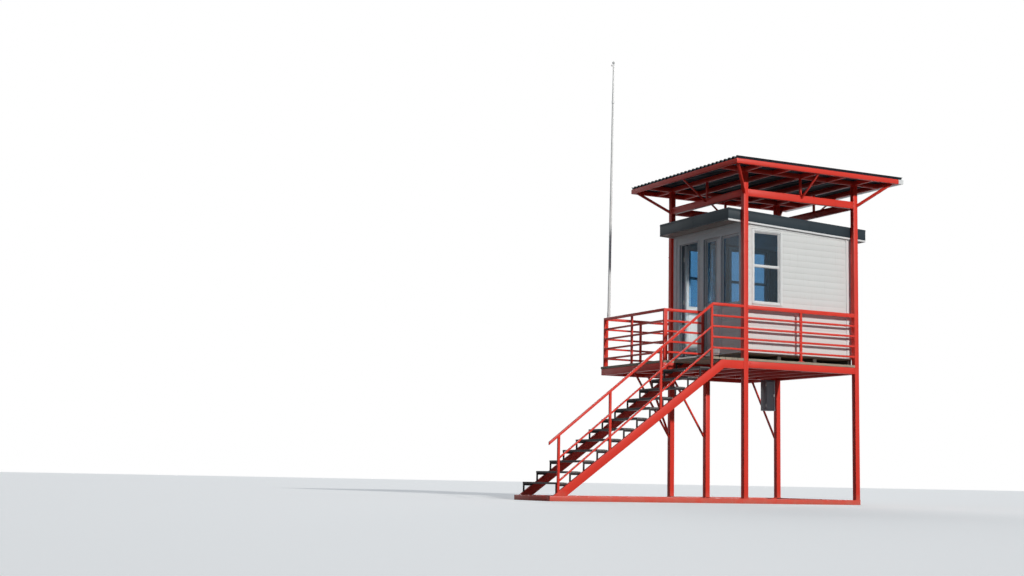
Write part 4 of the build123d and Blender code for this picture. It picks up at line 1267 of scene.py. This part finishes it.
class TOWER_OT_fixings(bpy.types.Operator):
    """Bolt the deck beams and the upper beams to the posts"""
    bl_idname = "tower.fixings"
    bl_label = "Bolts"

    def execute(self, context):
        spots = []
        for node, margin, long_sides, end_sides in (("deck_beams", 0.040, (-1,), (1, -1)),
                                                    ("upper_beams", 0.042, (-1, 1), (-1, 1))):
            low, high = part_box(node)
            for axis, bay, sides in ((1, BAY_X, long_sides), (0, BAY_Y, end_sides)):
                for along in (POST_HALF + BOLT_INSET, bay - POST_HALF - BOLT_INSET):
                    for z in (low.z + margin, high.z - margin):
                        for side in sides:
                            spot = [along, along, z]
                            spot[axis] = (low if side < 0 else high)[axis]
                            spots.append((spot, axis, side))
        bolts_at("beam_bolts", spots, "frame_red")
        return {"FINISHED"}


class TOWER_OT_carried_over(bpy.types.Operator):
    """Finish the solids that are shown as they are: walls inside, glass, hinges and knobs"""
    bl_idname = "tower.carried_over"
    bl_label = "Walls, Glass and Fittings"

    def execute(self, context):
        looks = {
            "lining_x": ("near_wall", "far_wall"),
            "lining_y": ("right_wall", "front_wall_near", "front_wall_middle", "front_wall_far",
                         "front_wall_heads"),
            "glass": ("window_panes", "terrace_door_pane", "landing_door_pane"),
            "steel": ("door_hinges", "terrace_door_fittings", "landing_door_fittings"),
        }
        for look, nodes in looks.items():
            for node in nodes:
                coat(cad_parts[node], look)
        finished = sum(looks.values(), ())
        left = [name for name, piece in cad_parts.items()
                if name not in finished and not piece.hide_render]
        if left:
            raise RuntimeError(f"no finish was given to {left}")
        return {"FINISHED"}


# Stage

class TOWER_OT_stage(bpy.types.Operator):
    """Lay the pale floor, light the tower softly and set the camera"""
    bl_idname = "tower.stage"
    bl_label = "Stage"

    def execute(self, context):
        scene = context.scene
        bpy.ops.object.select_all(action="DESELECT")
        bpy.ops.mesh.primitive_plane_add(size=900, location=(0, 0, 0))
        floor = bpy.context.object
        floor.name = "floor"
        look = Finish("Pale Floor")
        seen = look.seen_ray()[0]
        look.feed_all(look.shader, {
            "Base Color": look.mix(seen, (0.17, 0.17, 0.17, 1.0), (0.90, 0.90, 0.89, 1.0)),
            "Emission Color": (1.0, 1.0, 0.99, 1.0), "Emission Strength": look.times(seen, 0.22),
            "Roughness": 0.9, "Specular IOR Level": 0.1})
        floor.data.materials.append(look.material)

        # The camera, reflections and glass see white; other rays get a dim blue sky
        scene.world = bpy.data.worlds.new("Soft Studio")
        scene.world.use_nodes = True
        graph = Graph(scene.world.node_tree)
        graph.tree.nodes.clear()
        seen, path = graph.seen_ray()
        direct = graph.math("LESS_THAN", path["Diffuse Depth"], 0.5)
        sky = graph.add("Background", Color=(0.60, 0.78, 1.0, 1.0), Strength=0.18)
        white = graph.add("Background", Color=(1.0, 1.0, 1.0, 1.0), Strength=1.0)
        both = graph.tree.nodes.new("ShaderNodeMixShader")
        for socket, source in zip(both.inputs, (graph.times(seen, direct), sky[0], white[0])):
            graph.feed(socket, source)
        graph.add("OutputWorld", Surface=both.outputs[0])

        for name, toward, energy, angle, colour in (
                ("key", (-0.10, 1.0, -0.375), 2.35, 2, (1.0, 0.985, 0.96)),
                ("fill", (-0.60, -1.0, -0.45), 0.85, 25, (0.96, 0.98, 1.0))):
            light = bpy.data.lights.new(name, "SUN")
            light.energy, light.angle, light.color = energy, radians(angle), colour
            lamp = bpy.data.objects.new(name, light)
            lamp.rotation_mode = "QUATERNION"
            lamp.rotation_quaternion = Vector(toward).to_track_quat("-Z", "Y")
            scene.collection.objects.link(lamp)

        camera = bpy.data.cameras.new("camera")
        camera.sensor_fit, camera.sensor_width = "HORIZONTAL", SENSOR
        camera.lens = CAMERA_FOCAL * SENSOR / PHOTO_WIDTH
        camera.clip_start, camera.clip_end = 0.1, 1500
        holder = bpy.data.objects.new("camera", camera)
        yaw, pitch, roll = CAMERA_YAW, CAMERA_PITCH, CAMERA_ROLL
        ahead = Vector((sin(yaw) * cos(pitch), cos(yaw) * cos(pitch), sin(pitch)))
        across = Vector((cos(yaw), -sin(yaw), 0))
        up = across.cross(ahead)
        right = across * cos(roll) + up * sin(roll)
        above = up * cos(roll) - across * sin(roll)
        view = Matrix((right, above, -ahead)).transposed().to_4x4()
        view.translation = CAMERA_AT
        holder.matrix_world = view
        scene.collection.objects.link(holder)
        scene.camera = holder
        scene.view_settings.view_transform = "Standard"
        return {"FINISHED"}


# Add-on

OPERATORS = (TOWER_OT_stage, TOWER_OT_steel_frame, TOWER_OT_rails, TOWER_OT_stair, TOWER_OT_decks,
             TOWER_OT_cabin_floor, TOWER_OT_siding, TOWER_OT_trim, TOWER_OT_windows, TOWER_OT_doors,
             TOWER_OT_cabin_roof, TOWER_OT_canopy, TOWER_OT_gutter, TOWER_OT_pole, TOWER_OT_locker,
             TOWER_OT_fixings, TOWER_OT_carried_over)


class TOWER_PT_panel(bpy.types.Panel):
    """Sizes, colours and pieces of the lookout tower"""
    bl_idname = "TOWER_PT_panel"
    bl_label = "Lookout Tower"
    bl_space_type = "VIEW_3D"
    bl_region_type = "UI"
    bl_category = "Lookout"

    def draw(self, context):
        layout = self.layout
        for settings in (context.scene.tower_sizes, context.scene.tower_colours):
            column = layout.column()
            for name in settings.__annotations__:
                column.prop(settings, name)
        for kind in OPERATORS:
            layout.operator(kind.bl_idname)


CLASSES = (TowerSizes, TowerColours, *OPERATORS, TOWER_PT_panel)


def register():
    for kind in CLASSES:
        bpy.utils.register_class(kind)
    bpy.types.Scene.tower_sizes = bpy.props.PointerProperty(type=TowerSizes)
    bpy.types.Scene.tower_colours = bpy.props.PointerProperty(type=TowerColours)


def unregister():
    del bpy.types.Scene.tower_colours
    del bpy.types.Scene.tower_sizes
    for kind in reversed(CLASSES):
        bpy.utils.unregister_class(kind)


def main():
    """Register and build every piece in order."""
    register()
    for kind in OPERATORS:
        group, name = kind.bl_idname.split(".")
        getattr(getattr(bpy.ops, group), name)()


if __name__ == "__main__":
    main()
